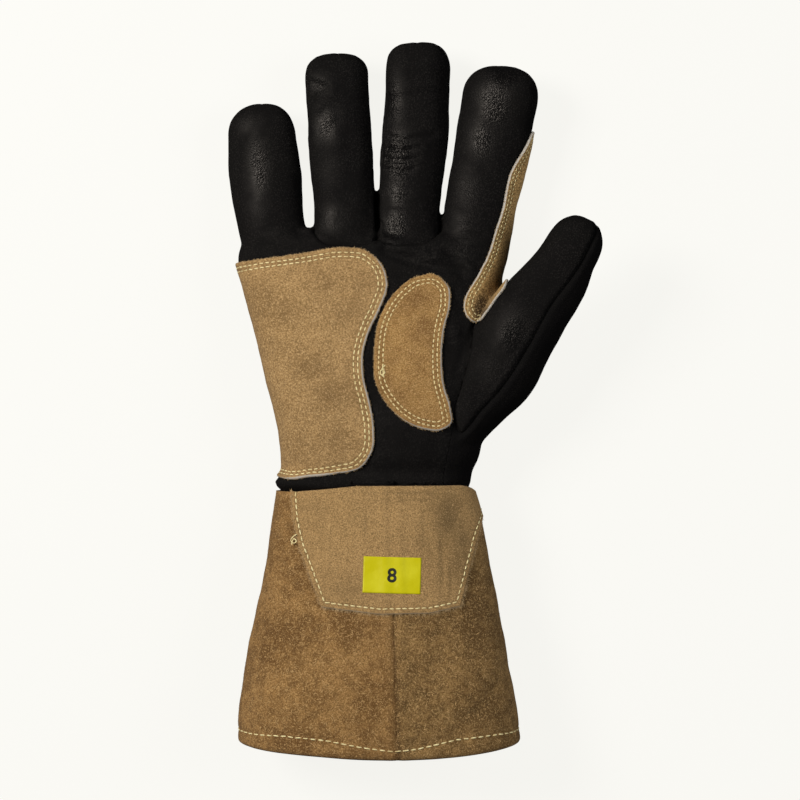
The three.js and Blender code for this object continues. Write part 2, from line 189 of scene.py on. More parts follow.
def along(points):
    """How far along a line each of its points is."""
    return np.r_[0, np.cumsum(np.linalg.norm(np.diff(points, axis=0), axis=1))]


def unit(vectors):
    """Vectors, one to a row, made one long."""
    return vectors / np.linalg.norm(vectors, axis=1)[:, None]


def ring_of(middle, side, up, w, h, power, count):
    """A rounded section: a superellipse, squarer with a higher power."""
    turn = np.linspace(0, 2 * np.pi, 4 * count, endpoint=False)
    over, rise = np.cos(turn), np.sin(turn)
    over = w * np.sign(over) * np.abs(over) ** (2 / power)
    rise = h * np.sign(rise) * np.abs(rise) ** (2 / power)
    closed = np.c_[np.r_[over, over[0]], np.r_[rise, rise[0]]]
    run = along(closed)
    places = np.linspace(0, run[-1], count, endpoint=False)
    over, rise = (np.interp(places, run, closed[:, k]) for k in (0, 1))
    return middle + np.outer(over, side) + np.outer(rise, up)


def dome(power, count=14, share=0.985):
    """Steps over a rounded end, up to a share of its quarter turn, and how wide it still is at each."""
    step = np.sin(np.linspace(0, np.pi / 2, count + 1)[1:] * share)
    return step, (1 - step**power) ** (1 / power)


def digit_rings(tip, power, rows):
    """Sections of a digit, and then of its rounded tip."""
    rows = np.array(rows, float)
    _, rows = fair(along(rows[:, :3]), rows, ROW_STEP)
    middles = rows[:, :3]
    ways = unit(np.gradient(middles, axis=0))
    sizes = rows[:, 3:]
    steps, widths = dome(power)
    low = dome(2.0)[1]
    end = middles[-1] + np.outer(steps * tip, ways[-1])
    middles = np.r_[middles, end]
    ways = np.r_[ways, np.repeat(ways[-1:], len(steps), 0)]
    sizes = np.r_[sizes, np.c_[sizes[-1, 0] * widths, sizes[-1, 1] * low]]
    rings = []
    for middle, way, (w, h) in zip(middles, ways, sizes):
        side = np.cross(way, UPWARDS)
        side /= np.linalg.norm(side)
        rings.append(ring_of(middle, side, np.cross(side, way), w, h, DIGIT_ROUND, DIGIT_COUNT))
    return rings


def palm_rings():
    """Sections of the hand from the wrist, and then of the rounded end under the knuckles."""
    rows = np.array(PALM, float)
    _, rows = fair(rows[:, 0], rows, ROW_STEP)
    steps, low = dome(KNUCKLE_ROUND)
    end = np.repeat(rows[-1:], len(steps), 0)
    end[:, 0] += steps * KNUCKLE_REACH
    full = np.ones(len(rows))
    rings = []
    for row, thin, flat in zip(np.r_[rows, end], np.r_[full, low**KNUCKLE_NARROWING], np.r_[full, low]):
        y, left, right, back, front, power = row
        middle = np.array([(left + right) / 2, y, (back + front) / 2])
        w, h = (right - left) / 2 * thin, (front - back) / 2 * flat
        rings.append(ring_of(middle, ACROSS, UPWARDS, w, h, power, PALM_COUNT))
    return rings


def bands(rings, count):
    """The corners of the faces between rings of count points, as four rows of point numbers."""
    ring, corner = np.meshgrid(np.arange(rings), np.arange(count), indexing="ij")
    a, b = ((ring * count + (corner + ahead) % count).ravel() for ahead in (0, 1))
    return a, b, b + count, a + count


def closed_loft(rings, start):
    """Faces between rings of points, with both ends closed. start is the first point's number."""
    count = len(rings[0])
    near_end, far_end = np.arange(count)[::-1], (len(rings) - 1) * count + np.arange(count)
    sides = start + np.stack(bands(len(rings) - 1, count), axis=1)
    return [tuple(start + near_end), tuple(start + far_end), *map(tuple, sides)]


def skin_of(lofts, grain):
    """One closed skin round several overlapping forms, as points and triangles."""
    points, faces = [], []
    for rings in lofts:
        faces += closed_loft(rings, sum(map(len, points)))
        points.append(np.concatenate(rings))
    mesh = bpy.data.meshes.new("form")
    mesh.from_pydata(np.concatenate(points).tolist(), [], faces)
    form = bpy.data.objects.new("form", mesh)
    scene.collection.objects.link(form)
    cover = form.modifiers.new("cover", "REMESH")
    cover.mode = "VOXEL"
    cover.voxel_size = grain
    covered = form.evaluated_get(bpy.context.evaluated_depsgraph_get()).to_mesh()
    covered.calc_loop_triangles()
    co = np.empty(len(covered.vertices) * 3)
    covered.vertices.foreach_get("co", co)
    triangles = np.empty(len(covered.loop_triangles) * 3, np.int32)
    covered.loop_triangles.foreach_get("vertices", triangles)
    bpy.data.objects.remove(form)
    bpy.data.meshes.remove(mesh)
    return co.reshape(-1, 3), triangles.reshape(-1, 3)


def sides_of(triangles):
    """The three sides of each triangle, as two point numbers each."""
    return np.concatenate([triangles[:, [0, 1]], triangles[:, [1, 2]], triangles[:, [2, 0]]])


def edges_of(triangles):
    """Each edge once, as its two point numbers, the lower one first."""
    return np.unique(np.sort(sides_of(triangles), axis=1), axis=0)


def edge_numbers(keys, count, p, q):
    """Which of the sorted edge keys belong to the edges between points p and q, out of count points."""
    return np.searchsorted(keys, np.minimum(p, q).astype(np.int64) * count + np.maximum(p, q))


def added_up(numbers, values, count):
    """The sum of the values that go to each of count points."""
    return np.stack([np.bincount(numbers, values[:, k], count) for k in range(3)], axis=1)


def relaxed(points, triangles, rounds, share=1.0):
    """The surface evened out by moving each point towards the middle of its neighbours, by a share of it."""
    a, b = edges_of(triangles).T
    ends = np.r_[a, b]
    count = np.bincount(ends, minlength=len(points))[:, None]
    for _ in range(rounds):
        total = added_up(ends, np.r_[points[b], points[a]], len(points))
        points = points + 0.5 * share * (total / count - points)
    return points


def normals_of(points, triangles):
    """The outward direction at each point."""
    a, b, c = (points[triangles[:, k], :3] for k in range(3))
    facing = np.repeat(np.cross(b - a, c - a), 3, axis=0)
    total = added_up(triangles.ravel(), facing, len(points))
    return total / np.maximum(np.linalg.norm(total, axis=1), 1e-12)[:, None]


def swell(points, size, seed=0.0):
    """Soft lumps about size millimetres across, from -1 to 1."""
    return np.array([noise.noise(Vector(p)) for p in (points[:, :3] / size + seed)])


def lumps(points, rows):
    """Several sizes of soft lumps on top of each other."""
    return sum(height * swell(points, size, seed) for height, size, seed in rows)


def bell(away, reach):
    """1 at 0, falling softly to nearly 0 at twice the reach on both sides."""
    return np.exp(-((away / reach) ** 2))


def ramp(value, start, span):
    """0 up to start, rising evenly to 1 over a span."""
    return np.clip((value - start) / span, 0, 1)


def line_distance(points, line):
    """Distance from points to a line of corners, all seen from the palm side."""
    best = np.full(len(points), np.inf)
    for start, end in zip(line[:-1], line[1:]):
        start, way = np.array(start, float), np.subtract(end, start)
        share = np.clip((points[:, :2] - start) @ way / max(way @ way, 1e-12), 0, 1)
        best = np.minimum(best, np.linalg.norm(points[:, :2] - start - np.outer(share, way), axis=1))
    return best


def upward(normals):
    """1 on what faces the palm side, 0 on the back."""
    return np.clip(normals[:, 2] * 1.6 + 0.2, 0, 1)


# Folds in the leather: a line of corners, its depth and its width
FOLDS = [
    ([(-47.2, 146.8), (-43.5, 145.2), (-40.1, 143.2), (-42.5, 141.0), (-44.8, 138.9)], 0.55, 1.7),
    ([(-39.0, 140.0), (-32.0, 138.6), (-22.0, 138.0)], 0.3, 1.8),
    ([(-11.0, 138.4), (0.0, 140.6), (13.0, 142.0)], 0.35, 2.0),
    ([(-17.0, 95.0), (-16.8, 84.0), (-16.8, 73.0)], 1.4, 1.1),
    ([(-46.0, 130.0), (-41.0, 134.0), (-36.0, 134.6)], 0.3, 2.2),
    ([(26.6, 35.1), (24.3, 18.8), (22.0, 13.5), (20.2, 0.7), (18.8, -14.0)], 0.5, 2.4),
    ([(-11.0, 121.4), (-4.0, 119.8), (4.0, 121.2), (9.0, 122.6)], 0.45, 1.4),
    ([(-11.6, 116.6), (-5.0, 115.2), (3.0, 117.0)], 0.5, 1.3),
    ([(-11.8, 111.8), (-5.0, 110.4), (2.0, 112.0)], 0.45, 1.3),
    ([(-11.8, 106.6), (-6.0, 105.4), (0.0, 107.0)], 0.4, 1.3),
    ([(-11.0, 90.4), (-5.0, 89.6), (2.0, 90.8)], 0.35, 1.4),
    ([(13.0, 79.0), (20.0, 76.4), (31.0, 76.0)], 0.35, 1.8),
    ([(12.0, 70.0), (20.0, 67.2), (29.0, 62.0)], 0.3, 1.6),
    ([(-12.0, 67.4), (-2.0, 66.0), (8.0, 68.6)], 0.35, 1.8),
    ([(-74.0, 82.0), (-66.0, 79.6), (-56.0, 81.4)], 0.25, 2.0),
    ([(-13.4, 68.6), (-4.0, 64.8), (8.0, 61.6), (22.0, 59.4)], 1.1, 2.2),
    ([(16.0, 68.0), (22.0, 58.0), (24.0, 50.0)], 0.5, 2.2),
    ([(19.0, 52.0), (22.0, 40.0), (22.6, 30.0)], 0.5, 2.0),
    ([(-30.0, 122.0), (-28.0, 114.0), (-29.0, 104.0)], 0.3, 2.6),
    ([(-42.6, 130.0), (-40.0, 118.0)], 0.3, 2.4),
]
# The lips of a fold: their height as a share of its depth, their place in widths from its line and how
# narrow they are
LIP, LIP_PLACE, LIP_NARROWNESS = 0.45, 2.1, 1.4
# Soft lumps all over the hand: how high, about how far across, and a seed
HAND_LUMPS = [(0.55, 21.0, 3.1), (0.22, 8.0, 7.7), (0.07, 3.4, 1.9)]
# The roll over the wrist: its middle and its reach along y, and how much lower it is towards the thumb
ROLL_MIDDLE, ROLL_REACH, ROLL_DROP = -37.6, 4.5, 1.8
# Two fingers that lie turned a little towards the middle one: the middle of the finger, where the turn
# starts and how steep it is, and then how wide such a turn is and within what length it sets in
LEANS = [(-69.0, 84, 0.12), (37.0, 112, 0.2)]
LEAN_WIDTH, LEAN_START = 22, 24

form, form_triangles = skin_of([palm_rings(), *(digit_rings(*row) for row in DIGITS.values())], FORM_GRAIN)
form = relaxed(form, form_triangles, FORM_ROUNDS)
crotch = bell(np.linalg.norm(form - CROTCH, axis=1)[:, None], CROTCH_REACH)
form = relaxed(form, form_triangles, CROTCH_ROUNDS, crotch)
form_normals = normals_of(form, form_triangles)
relief = lumps(form, HAND_LUMPS)
for line, depth, width in FOLDS:
    away = line_distance(form, line) / width
    lips = LIP * np.exp(-((away - LIP_PLACE) ** 2) * LIP_NARROWNESS)
    relief -= depth * (bell(away, 1.0) - lips) * upward(form_normals)
flat = bell(form[:, 1] - ROLL_MIDDLE, ROLL_REACH) * ramp(form[:, 0], -42, 20)
relief -= ROLL_DROP * flat * upward(form_normals)
form = form + relief[:, None] * form_normals
for axis, start, lean in LEANS:
    from_axis = form[:, 0] - axis
    turned = lean * from_axis * np.exp(-((from_axis / LEAN_WIDTH) ** 6))
    form[:, 2] += turned * ramp(form[:, 1], start, LEAN_START)
form[:, 2] = np.maximum(form[:, 2], 0.0)
form_normals = normals_of(form, form_triangles)

# The panels of the hand are cut from black grain goatskin, the outer side of the thumb from black split.
# They are sewn together inside out, so each seam shows only as a narrow crease.
FAR = 250
LEATHER = 1.6
SIDE_SEAM = [(-90, 19), (20, 19), (60, 16.6), (90, 13.8), (125, 12.6), (190, 17.4)]
FOURCHETTE_HALF = 4.2
THUMB_LEAN = np.radians(32)
THUMB_SEAM = [(-60, 15), (20, 19), (50, 27), (105, 40), (140, 46)]
WRIST_END = -50
THUMB_OUTLINE = [
    (58, 78), (47, 64), (39, 51), (28, 36), (24.5, 20), (21.5, 8), (17, -16), (13.8, -33),
    (13.2, -FAR), (FAR, -FAR), (FAR, FAR), (68, FAR),
]
THUMB_FRONT = [
    (58, 78), (47, 64), (39, 51), (28, 36), (24.5, 20), (21.5, 8), (18.8, -11), (20.3, -14),
    (30.8, -4), (40.2, 6.5), (50.2, 22), (62, 43.4), (74, 60), (82, 76), (88, FAR), (68, FAR),
]
RING_FRONT = [
    (-46.6, 84), (-45, 77), (-41, 73), (-31.7, 71.8), (-21, 72.8), (-17, 75), (-17, 93), (-16, FAR),
    (-54, FAR),
]
MIDDLE_FRONT = [
    (-17, 93), (-17, 75), (-13, 72.8), (-2, 72.4), (7, 74), (11.4, 78), (12.8, 88), (24, FAR),
    (-16, FAR),
]
# Share of an edge within which a cut takes the edge's end along
SNAP = 0.22


def flowing(corners, closed=True, step=1.0):
    """A smooth line through corners, where they aren't far out of sight."""
    corners = np.array(corners, float)
    near = np.abs(corners).max(axis=1) < FAR
    if closed and near.all():
        around = np.r_[corners[-3:], corners, corners[:3]]
        at = along(around)
        places, line = fair(at, around, step)
        return line[(places >= at[3]) & (places < at[3 + len(corners)])]
    first = int(np.argmax(near & ~np.roll(near, 1))) if closed and not near[0] else 0
    corners = np.roll(corners, -first, 0)
    near = np.roll(near, -first)
    count = int(near.sum())
    return np.r_[fair(along(corners[:count]), corners[:count], step)[1], corners[count:]]


def within(points, outline):
    """Distance inside an outline that is drawn as seen from the palm side, less than 0 outside it."""
    outline = np.array(outline, float)
    x, y = points[:, 0], points[:, 1]
    inside = np.zeros(len(points), bool)
    for (x0, y0), (x1, y1) in zip(outline, np.roll(outline, -1, 0)):
        spans = (y0 > y) != (y1 > y)
        if spans.any():
            inside ^= spans & (x < (x1 - x0) * (y - y0) / (y1 - y0 if y1 != y0 else 1e-12) + x0)
    away = line_distance(points, [*outline, outline[0]])
    return np.where(inside, away, -away)


def above_seam(points, seam, lean=0.0):
    """Height over a side seam that rises and falls along the hand or the thumb."""
    run = points[:, 0] * np.sin(lean) + points[:, 1] * np.cos(lean)
    places, rows = fair([s for s, _ in seam], seam, 1.0)
    return points[:, 2] - np.interp(run, places, rows[:, 1])


def between(points, one, other):
    """Inside the strip from the middle of one finger to the middle of the next."""
    lines = []
    for tip, _, rows in (DIGITS[one], DIGITS[other]):
        lines.append([(x, y) for x, y, *_ in rows] + [(rows[-1][0], rows[-1][1] + 2 * tip)])
    strip = within(points, lines[0] + lines[1][::-1])
    return np.minimum(strip, FOURCHETTE_HALF - np.abs(above_seam(points, SIDE_SEAM)))


def split(points, triangles, value):
    """Cuts a surface along the line where value is 0. Returns its points with those on the cut added,
    then the triangles where value is above 0 and the rest."""
    points, value = points.copy(), value.copy()
    a, b = edges_of(triangles).T
    crossing = value[a] * value[b] < 0
    a, b = a[crossing], b[crossing]
    share = value[a] / (value[a] - value[b])
    for near, far, part in ((a, b, share), (b, a, 1 - share)):
        close = part < SNAP
        points[near[close]] += part[close, None] * (points[far[close]] - points[near[close]])
        value[near[close]] = 0
    crossing = value[a] * value[b] < 0
    a, b = a[crossing], b[crossing]
    keys = a.astype(np.int64) * len(points) + b
    order = np.argsort(keys)
    keys, a, b = keys[order], a[order], b[order]
    share = (value[a] / (value[a] - value[b]))[:, None]
    count = len(points)

    def on_edge(p, q):
        return count + edge_numbers(keys, count, p, q)

    signs = np.sign(value[triangles])
    cut = (signs > 0).any(1) & (signs < 0).any(1)
    whole, total = triangles[~cut], signs[~cut].sum(1)
    inside, outside = [whole[total >= 0]], [whole[total < 0]]
    zero = (signs == 0).any(1)

    def turned(chosen, first):
        order = (first[:, None] + np.arange(3)) % 3
        return np.take_along_axis(triangles[chosen], order, 1), np.take_along_axis(signs[chosen], order, 1)

    corners, side = turned(cut & zero, np.argmax(signs[cut & zero] == 0, axis=1))
    z, p, q = corners.T
    m = on_edge(p, q)
    for made, up in ((np.c_[z, p, m], side[:, 1] > 0), (np.c_[z, m, q], side[:, 2] > 0)):
        inside.append(made[up])
        outside.append(made[~up])
    chosen = cut & ~zero
    lone = np.argmax(signs[chosen] == -signs[chosen].sum(1)[:, None], axis=1)
    corners, side = turned(chosen, lone)
    l, p, q = corners.T
    m, n = on_edge(l, p), on_edge(l, q)
    up = side[:, 0] > 0
    for made, flag in ((np.c_[l, m, n], up), (np.c_[m, p, q], ~up), (np.c_[m, q, n], ~up)):
        inside.append(made[flag])
        outside.append(made[~flag])
    added = points[a] + share * (points[b] - points[a])
    return np.r_[points, added], np.concatenate(inside), np.concatenate(outside)


def rim_of(triangles):
    """The edges that belong to one triangle only, each in that triangle's direction."""
    pairs = sides_of(triangles)
    size = pairs.max() + 1
    keys, back = pairs @ np.array([size, 1]), pairs @ np.array([1, size])
    return pairs[~np.isin(keys, back)]


def used(points, triangles):
    """Only the points that the triangles use, with the triangles numbered to match."""
    kept, numbers = np.unique(triangles, return_inverse=True)
    return points[kept], numbers.reshape(triangles.shape).astype(np.int32)


def leather(points, triangles, outer, inner):
    """A closed layer of leather. Its two faces lie outer and inner millimetres out from a surface whose
    points also carry their outward directions."""
    place, out = points[:, :3], points[:, 3:6]
    rim = rim_of(triangles)
    a, b = rim.T
    count = len(points)
    faces = [triangles, triangles[:, ::-1] + count, np.c_[b, a, a + count], np.c_[b, a + count, b + count]]
    shift = (np.broadcast_to(value, (count,))[:, None] for value in (outer, inner))
    return np.concatenate([place + out * value for value in shift]), np.concatenate(faces)


def piece(name, points, faces, material, slot=None, marks=None):
    """A piece of the glove, from points in millimetres. With a slot it stands for the solid of its name.
    marks are values at its points for its material."""
    points = np.c_[points[:, :2], np.maximum(points[:, 2], 0.0)]
    mesh = bpy.data.meshes.new(name)
    mesh.vertices.add(len(points))
    mesh.vertices.foreach_set("co", ((points - MIDDLE) * 0.001).ravel())
    mesh.loops.add(faces.size)
    mesh.loops.foreach_set("vertex_index", faces.astype(np.int32).ravel())
    mesh.polygons.add(len(faces))
    mesh.polygons.foreach_set("loop_start", np.arange(0, faces.size, faces.shape[1], dtype=np.int32))
    mesh.update(calc_edges=True)
    mesh.shade_smooth()
    for mark, values in (marks or {}).items():
        mesh.attributes.new(mark, "FLOAT", "POINT").data.foreach_set("value", values.astype(np.float32))
    mesh.materials.append(material)
    made = bpy.data.objects.new(name, mesh)
    scene.collection.objects.link(made)
    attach(made, "root")
    if slot:
        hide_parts(name)


def group(name, inputs, outputs):
    """An empty shader node group with the given sockets: its tree, what comes in and what goes out."""
    tree = bpy.data.node_groups.new(name, "ShaderNodeTree")
    for label, kind, value in inputs:
        socket = tree.interface.new_socket(label, in_out="INPUT", socket_type="NodeSocket" + kind)
        socket.default_value = value
    for label, kind in outputs:
        tree.interface.new_socket(label, in_out="OUTPUT", socket_type="NodeSocket" + kind)
    return tree, tree.nodes.new("NodeGroupInput").outputs, tree.nodes.new("NodeGroupOutput").inputs


def sums(tree, operation, *values):
    """One step of arithmetic on numbers."""
    return node(tree, "Math", dict(enumerate(values)), operation=operation).outputs[0]


def eased(tree, value, low, high):
    """0 below low, 1 above high, and a smooth step between them."""
    inputs = {"Value": value, "From Min": low, "From Max": high}
    return node(tree, "MapRange", inputs, interpolation_type="SMOOTHSTEP").outputs[0]


def millimetres(tree, stretch=(1, 1, 1)):
    """Places on the glove in millimetres, squeezed along each axis by stretch."""
    place = node(tree, "TexCoord", {}).outputs["Object"]
    scale = tuple(1000 * s for s in stretch)
    return node(tree, "VectorMath", {0: place, 1: scale}, operation="MULTIPLY").outputs[0]


def grainy(tree, place, scale, detail=2.0, rough=0.55, distortion=0.0):
    """Noise from 0 to 1, with scale lumps to a millimetre."""
    inputs = {"Vector": place, "Scale": scale, "Detail": detail, "Roughness": rough, "Distortion": distortion}
    return node(tree, "TexNoise", inputs).outputs[0]


goat_grain, given, gives = group(
    "goat_grain",
    [("Colour", "Color", (0.01, 0.01, 0.01, 1)), ("Wear and glint", "Color", (0.05, 0.04, 0.03, 1)),
     ("Pebble", "Float", 1.2), ("Crumple", "Float", 0.0), ("Gloss", "Float", 0.0)],
    [("Colour", "Color"), ("Height", "Float"), ("Roughness", "Float")],
)
skin = millimetres(goat_grain)
wander = node(goat_grain, "TexNoise", {"Vector": skin, "Scale": 0.6, "Detail": 1.0}).outputs[1]
wandering = {0: wander, 1: (1.3, 1.3, 1.3), 2: skin}
bent = node(goat_grain, "VectorMath", wandering, operation="MULTIPLY_ADD").outputs[0]
celled = {"Vector": bent, "Scale": given["Pebble"], "Smoothness": 0.35}
cells = node(goat_grain, "TexVoronoi", celled, feature="SMOOTH_F1").outputs["Distance"]
pebbles = sums(goat_grain, "SUBTRACT", 1.0, cells)
patchy = grainy(goat_grain, skin, 0.07, 3.0, 0.6)
creases = grainy(goat_grain, millimetres(goat_grain, (0.22, 0.95, 0.4)), 0.9, 2.0, 0.5, 0.8)
creases = sums(goat_grain, "MULTIPLY", sums(goat_grain, "SUBTRACT", creases, 0.5), given["Crumple"])
raised = sums(goat_grain, "MULTIPLY", eased(goat_grain, patchy, 0.15, 0.6), 0.75)
height = sums(goat_grain, "MULTIPLY_ADD", pebbles, raised, creases)
goat_grain.links.new(height, gives["Height"])
# The tops of the pebbles take a lighter colour: partly wear of the dye, partly painted glints where the grain
# catches the light.
wear_and_glint = sums(goat_grain, "MULTIPLY", pebbles, eased(goat_grain, patchy, -0.3, 0.6))
peaks = eased(goat_grain, wear_and_glint, 0.5, 0.85)
goat_grain.links.new(mixed(goat_grain, peaks, given["Colour"], given["Wear and glint"]), gives["Colour"])
shine = sums(goat_grain, "MULTIPLY", given["Gloss"], eased(goat_grain, patchy, -0.1, 0.6))
dull_to_glossy = {"Value": shine, "To Min": 1.0, "To Max": 0.26}
goat_grain.links.new(node(goat_grain, "MapRange", dull_to_glossy).outputs[0], gives["Roughness"])


def finish(name, effect, values, bump, rough=None, **constants):
    """A material from an effect's group: its colour, bumps and gloss. A value that is a name stands for the
    marks of that name on the piece's points. rough is the roughness if it's even."""
    material = bpy.data.materials.new(name)
    material.use_nodes = True
    tree = material.node_tree
    surface = tree.nodes["Principled BSDF"]
    made = tree.nodes.new("ShaderNodeGroup")
    made.node_tree = effect
    for label, value in values.items():
        if isinstance(value, str):
            mark = node(tree, "Attribute", {}, attribute_name=value).outputs["Fac"]
            tree.links.new(mark, made.inputs[label])
        else:
            made.inputs[label].default_value = value
    tree.links.new(made.outputs["Colour"], surface.inputs["Base Color"])
    if rough is None:
        tree.links.new(made.outputs["Roughness"], surface.inputs["Roughness"])
    else:
        surface.inputs["Roughness"].default_value = rough
    relief = node(tree, "Bump", {"Height": made.outputs["Height"], "Strength": bump, "Distance": 0.0004})
    tree.links.new(relief.outputs[0], surface.inputs["Normal"])
    for label, value in constants.items():
        surface.inputs[label.replace("_", " ").replace("Ior", "IOR")].default_value = value
    return material


black_grain = finish(
    "black_grain_goatskin", goat_grain,
    {
        "Colour": (0.0032, 0.0030, 0.0030, 1), "Wear and glint": (0.0125, 0.0113, 0.0104, 1), "Pebble": 1.5,
        "Crumple": "crumple", "Gloss": "gloss",
    },
    0.65, Specular_Ior_Level=0.1, Specular_Tint=(1.0, 0.92, 0.84, 1),
)
black_split = finish(
    "black_split_leather", goat_grain,
    {"Colour": (0.0036, 0.0033, 0.0033, 1), "Wear and glint": (0.009, 0.008, 0.007, 1), "Pebble": 2.2},
    0.6, rough=0.9, Specular_Ior_Level=0.05,
)

# Where the grain crumples into fine wrinkles: x, y, reach along each, and how much
CRUMPLED = [
    (-6, 112, 10, 22, 1.3), (2, 68, 22, 9, 1.2), (24, 76, 14, 14, 1.3), (-32, 80, 14, 9, 0.8),
    (-66, 78, 14, 9, 0.8), (27, 100, 10, 16, 0.5), (40, 12, 16, 20, 0.5), (0, 58, 30, 9, 1.0),
    (-6, 80, 12, 10, 1.0),
]
# Where wear has polished the grain, in the same way
POLISHED = [
    (-71.7, 106, 6.5, 24, 1.1), (-77, 128, 6, 9, 0.7), (-40, 127, 8, 10, 1.1), (-38, 84, 8, 8, 1.0),
    (-43, 146, 7, 6, 0.9), (-39, 107, 8, 14, 0.5), (-9, 138, 6, 16, 1.0), (-7.5, 113, 9, 16, 1.3),
    (-7.5, 95, 7, 9, 1.2), (-8, 81, 7, 10, 1.3), (42, 150, 9, 10, 1.2), (37, 137, 10, 14, 1.3),
    (31, 121, 8, 13, 1.1), (25, 97, 8, 16, 0.8), (20, 82, 9, 8, 0.9), (8, 66, 20, 7, 0.8),
    (24, 69, 10, 8, 0.8), (44, 28, 11, 16, 1.0), (36, 13, 10, 11, 0.7), (20, 22, 7, 15, 0.7),
    (-5, -16, 34, 26, 0.6), (-55, 77, 18, 5, 0.6),
]


def spotted(points, spots, least=0.0):
    """How much of something there is at points: the most that any soft-edged spot gives."""
    most = np.full(len(points), least)
    for x, y, wide, tall, much in spots:
        away = ((points[:, 0] - x) / wide) ** 2 + ((points[:, 1] - y) / tall) ** 2
        most = np.maximum(most, much * np.exp(-away))
    return most


def front(points, outline, seam, lean=0.0):
    """Inside an outline and over a side seam."""
    return np.minimum(within(points, flowing(outline)), above_seam(points, seam, lean))


# How crumpled and how glossy the grain is where no spot says more
LEAST_CRUMPLE, LEAST_GLOSS = 0.03, 0.18
crumple, gloss = spotted(form, CRUMPLED, LEAST_CRUMPLE), spotted(form, POLISHED, LEAST_GLOSS)
cut_points = np.c_[form, form_normals, crumple, gloss]
PANEL_REGIONS = {
    "fourchette_little_ring": lambda p: between(p, "little", "ring"),
    "fourchette_ring_middle": lambda p: between(p, "ring", "middle"),
    "fourchette_middle_index": lambda p: between(p, "middle", "index"),
    "thumb_front": lambda p: front(p, THUMB_FRONT, THUMB_SEAM, THUMB_LEAN),
    "thumb_back": lambda p: within(p, flowing(THUMB_OUTLINE)),
    "ring_finger_front": lambda p: front(p, RING_FRONT, SIDE_SEAM),
    "middle_finger_front": lambda p: front(p, MIDDLE_FRONT, SIDE_SEAM),
    "palm_panel": lambda p: above_seam(p, SIDE_SEAM),
}
cut_points, rest, _ = split(cut_points, form_triangles, cut_points[:, 1] - WRIST_END)
wrist_rim = np.unique(rim_of(rest))
panels = {}
for name, region in PANEL_REGIONS.items():
    cut_points, panels[name], rest = split(cut_points, rest, region(cut_points))
panels["back_panel"] = rest


def distances(points, targets):
    """How far each point is from the nearest target, and which one that is."""
    tree = KDTree(len(targets))
    for i, target in enumerate(targets):
        tree.insert(target, i)
    tree.balance()
    found = [tree.find(p) for p in points]
    return np.array([away for _, _, away in found]), np.array([i for _, i, _ in found])


# Seams that face the palm side show; those along the sides of the fingers lie flat. Each has a crease of a
# depth and a reach, and the leather puckers a little beside the ones that show.
SHOWN_FRONTS = ("thumb_front", "ring_finger_front", "middle_finger_front")
FACES_PALM = 0.32
SHOWN_SEAM, SHOWN_REACH = 0.85, 1.0
SIDE_CREASE, SIDE_REACH = 0.2, 0.8
PUCKER, PUCKER_PLACE, PUCKER_REACH = 0.2, 2.6, 1.2
corners = {name: np.setdiff1d(rim_of(panel), wrist_rim) for name, panel in panels.items()}
shown = np.unique(np.concatenate([corners[name] for name in SHOWN_FRONTS]))
shown = shown[cut_points[shown, 5] > FACES_PALM]
every = np.unique(np.concatenate(list(corners.values())))
from_shown, from_seam = (distances(cut_points[:, :3], cut_points[which, :3])[0] for which in (shown, every))
pucker = 1 + 0.5 * swell(cut_points, 2.6, 5.5)
shift = -SIDE_CREASE * bell(from_seam, SIDE_REACH) - SHOWN_SEAM * bell(from_shown, SHOWN_REACH)
shift += PUCKER * pucker * bell(from_shown - PUCKER_PLACE, PUCKER_REACH)
cut_points[:, :3] += shift[:, None] * cut_points[:, 3:6]
cut_points[:, 2] = np.maximum(cut_points[:, 2], 0.0)

for name, triangles in panels.items():
    points, triangles = used(cut_points, triangles)
    shell, faces = leather(points, triangles, 0.0, -LEATHER)
    marks = {"crumple": np.tile(points[:, 6], 2), "gloss": np.tile(points[:, 7], 2)}
    if name == "thumb_back":
        piece(name, shell, faces, black_split, "black_split", marks)
    else:
        piece(name, shell, faces, black_grain, "black_grain", marks)

# Suede patches are sewn flat on the palm with two rows of pale thread near their cut edges: one over the
# heel of the hand, a kidney-shaped one in the middle, and one round the crotch of the thumb.
PATCH_LIFT = 0.3
PATCH = 1.15
ROWS = (2.2, 4.1)
HEEL_PATCH = [
    (-FAR, 64), (-80, 64), (-52, 67.4), (-32, 70.1), (-22, 68.8), (-14.9, 62.7), (-12.2, 53),
    (-15.7, 41.6), (-20.6, 31), (-23.1, 21), (-22.8, 11), (-20.1, 0), (-18.2, -12), (-18.8, -22),
    (-24, -29.6), (-36, -33.2), (-48, -34.8), (-57, -35.8), (-62.5, -34.8), (-FAR, -34.8),
]
CENTRE_PATCH = [
    (-18, 23.6), (-15.8, 37.2), (-8.4, 49.8), (1.6, 57), (9.8, 57.4), (15.5, 52.4), (16.3, 44.8),
    (13.5, 32.8), (12.5, 23.6), (12.9, 9.9), (16.3, -3.6), (16.7, -9.2), (12.2, -12.9), (5, -12.6),
    (-4.1, -8.8), (-12.2, -1.2), (-17.1, 7.6),
]
CROTCH_PATCH = [
    (54.3, 125), (50.4, 116.5), (46.6, 110.2), (43.8, 104.4), (42.1, 97.4), (40.5, 89), (36.8, 77.3),
    (34.7, 69.9), (31, 61.4), (26.8, 54), (23.4, 47.6), (22.6, 42.8), (24.4, 38.2), (27.6, 36), (30.4, 36.4),
    (33.2, 39.6), (37.8, 46.2), (41.6, 51.4), (43.6, 56.2), (45.8, 63), (50, 76), (60, 104),
]
CROTCH_PATCH_LOW = 9

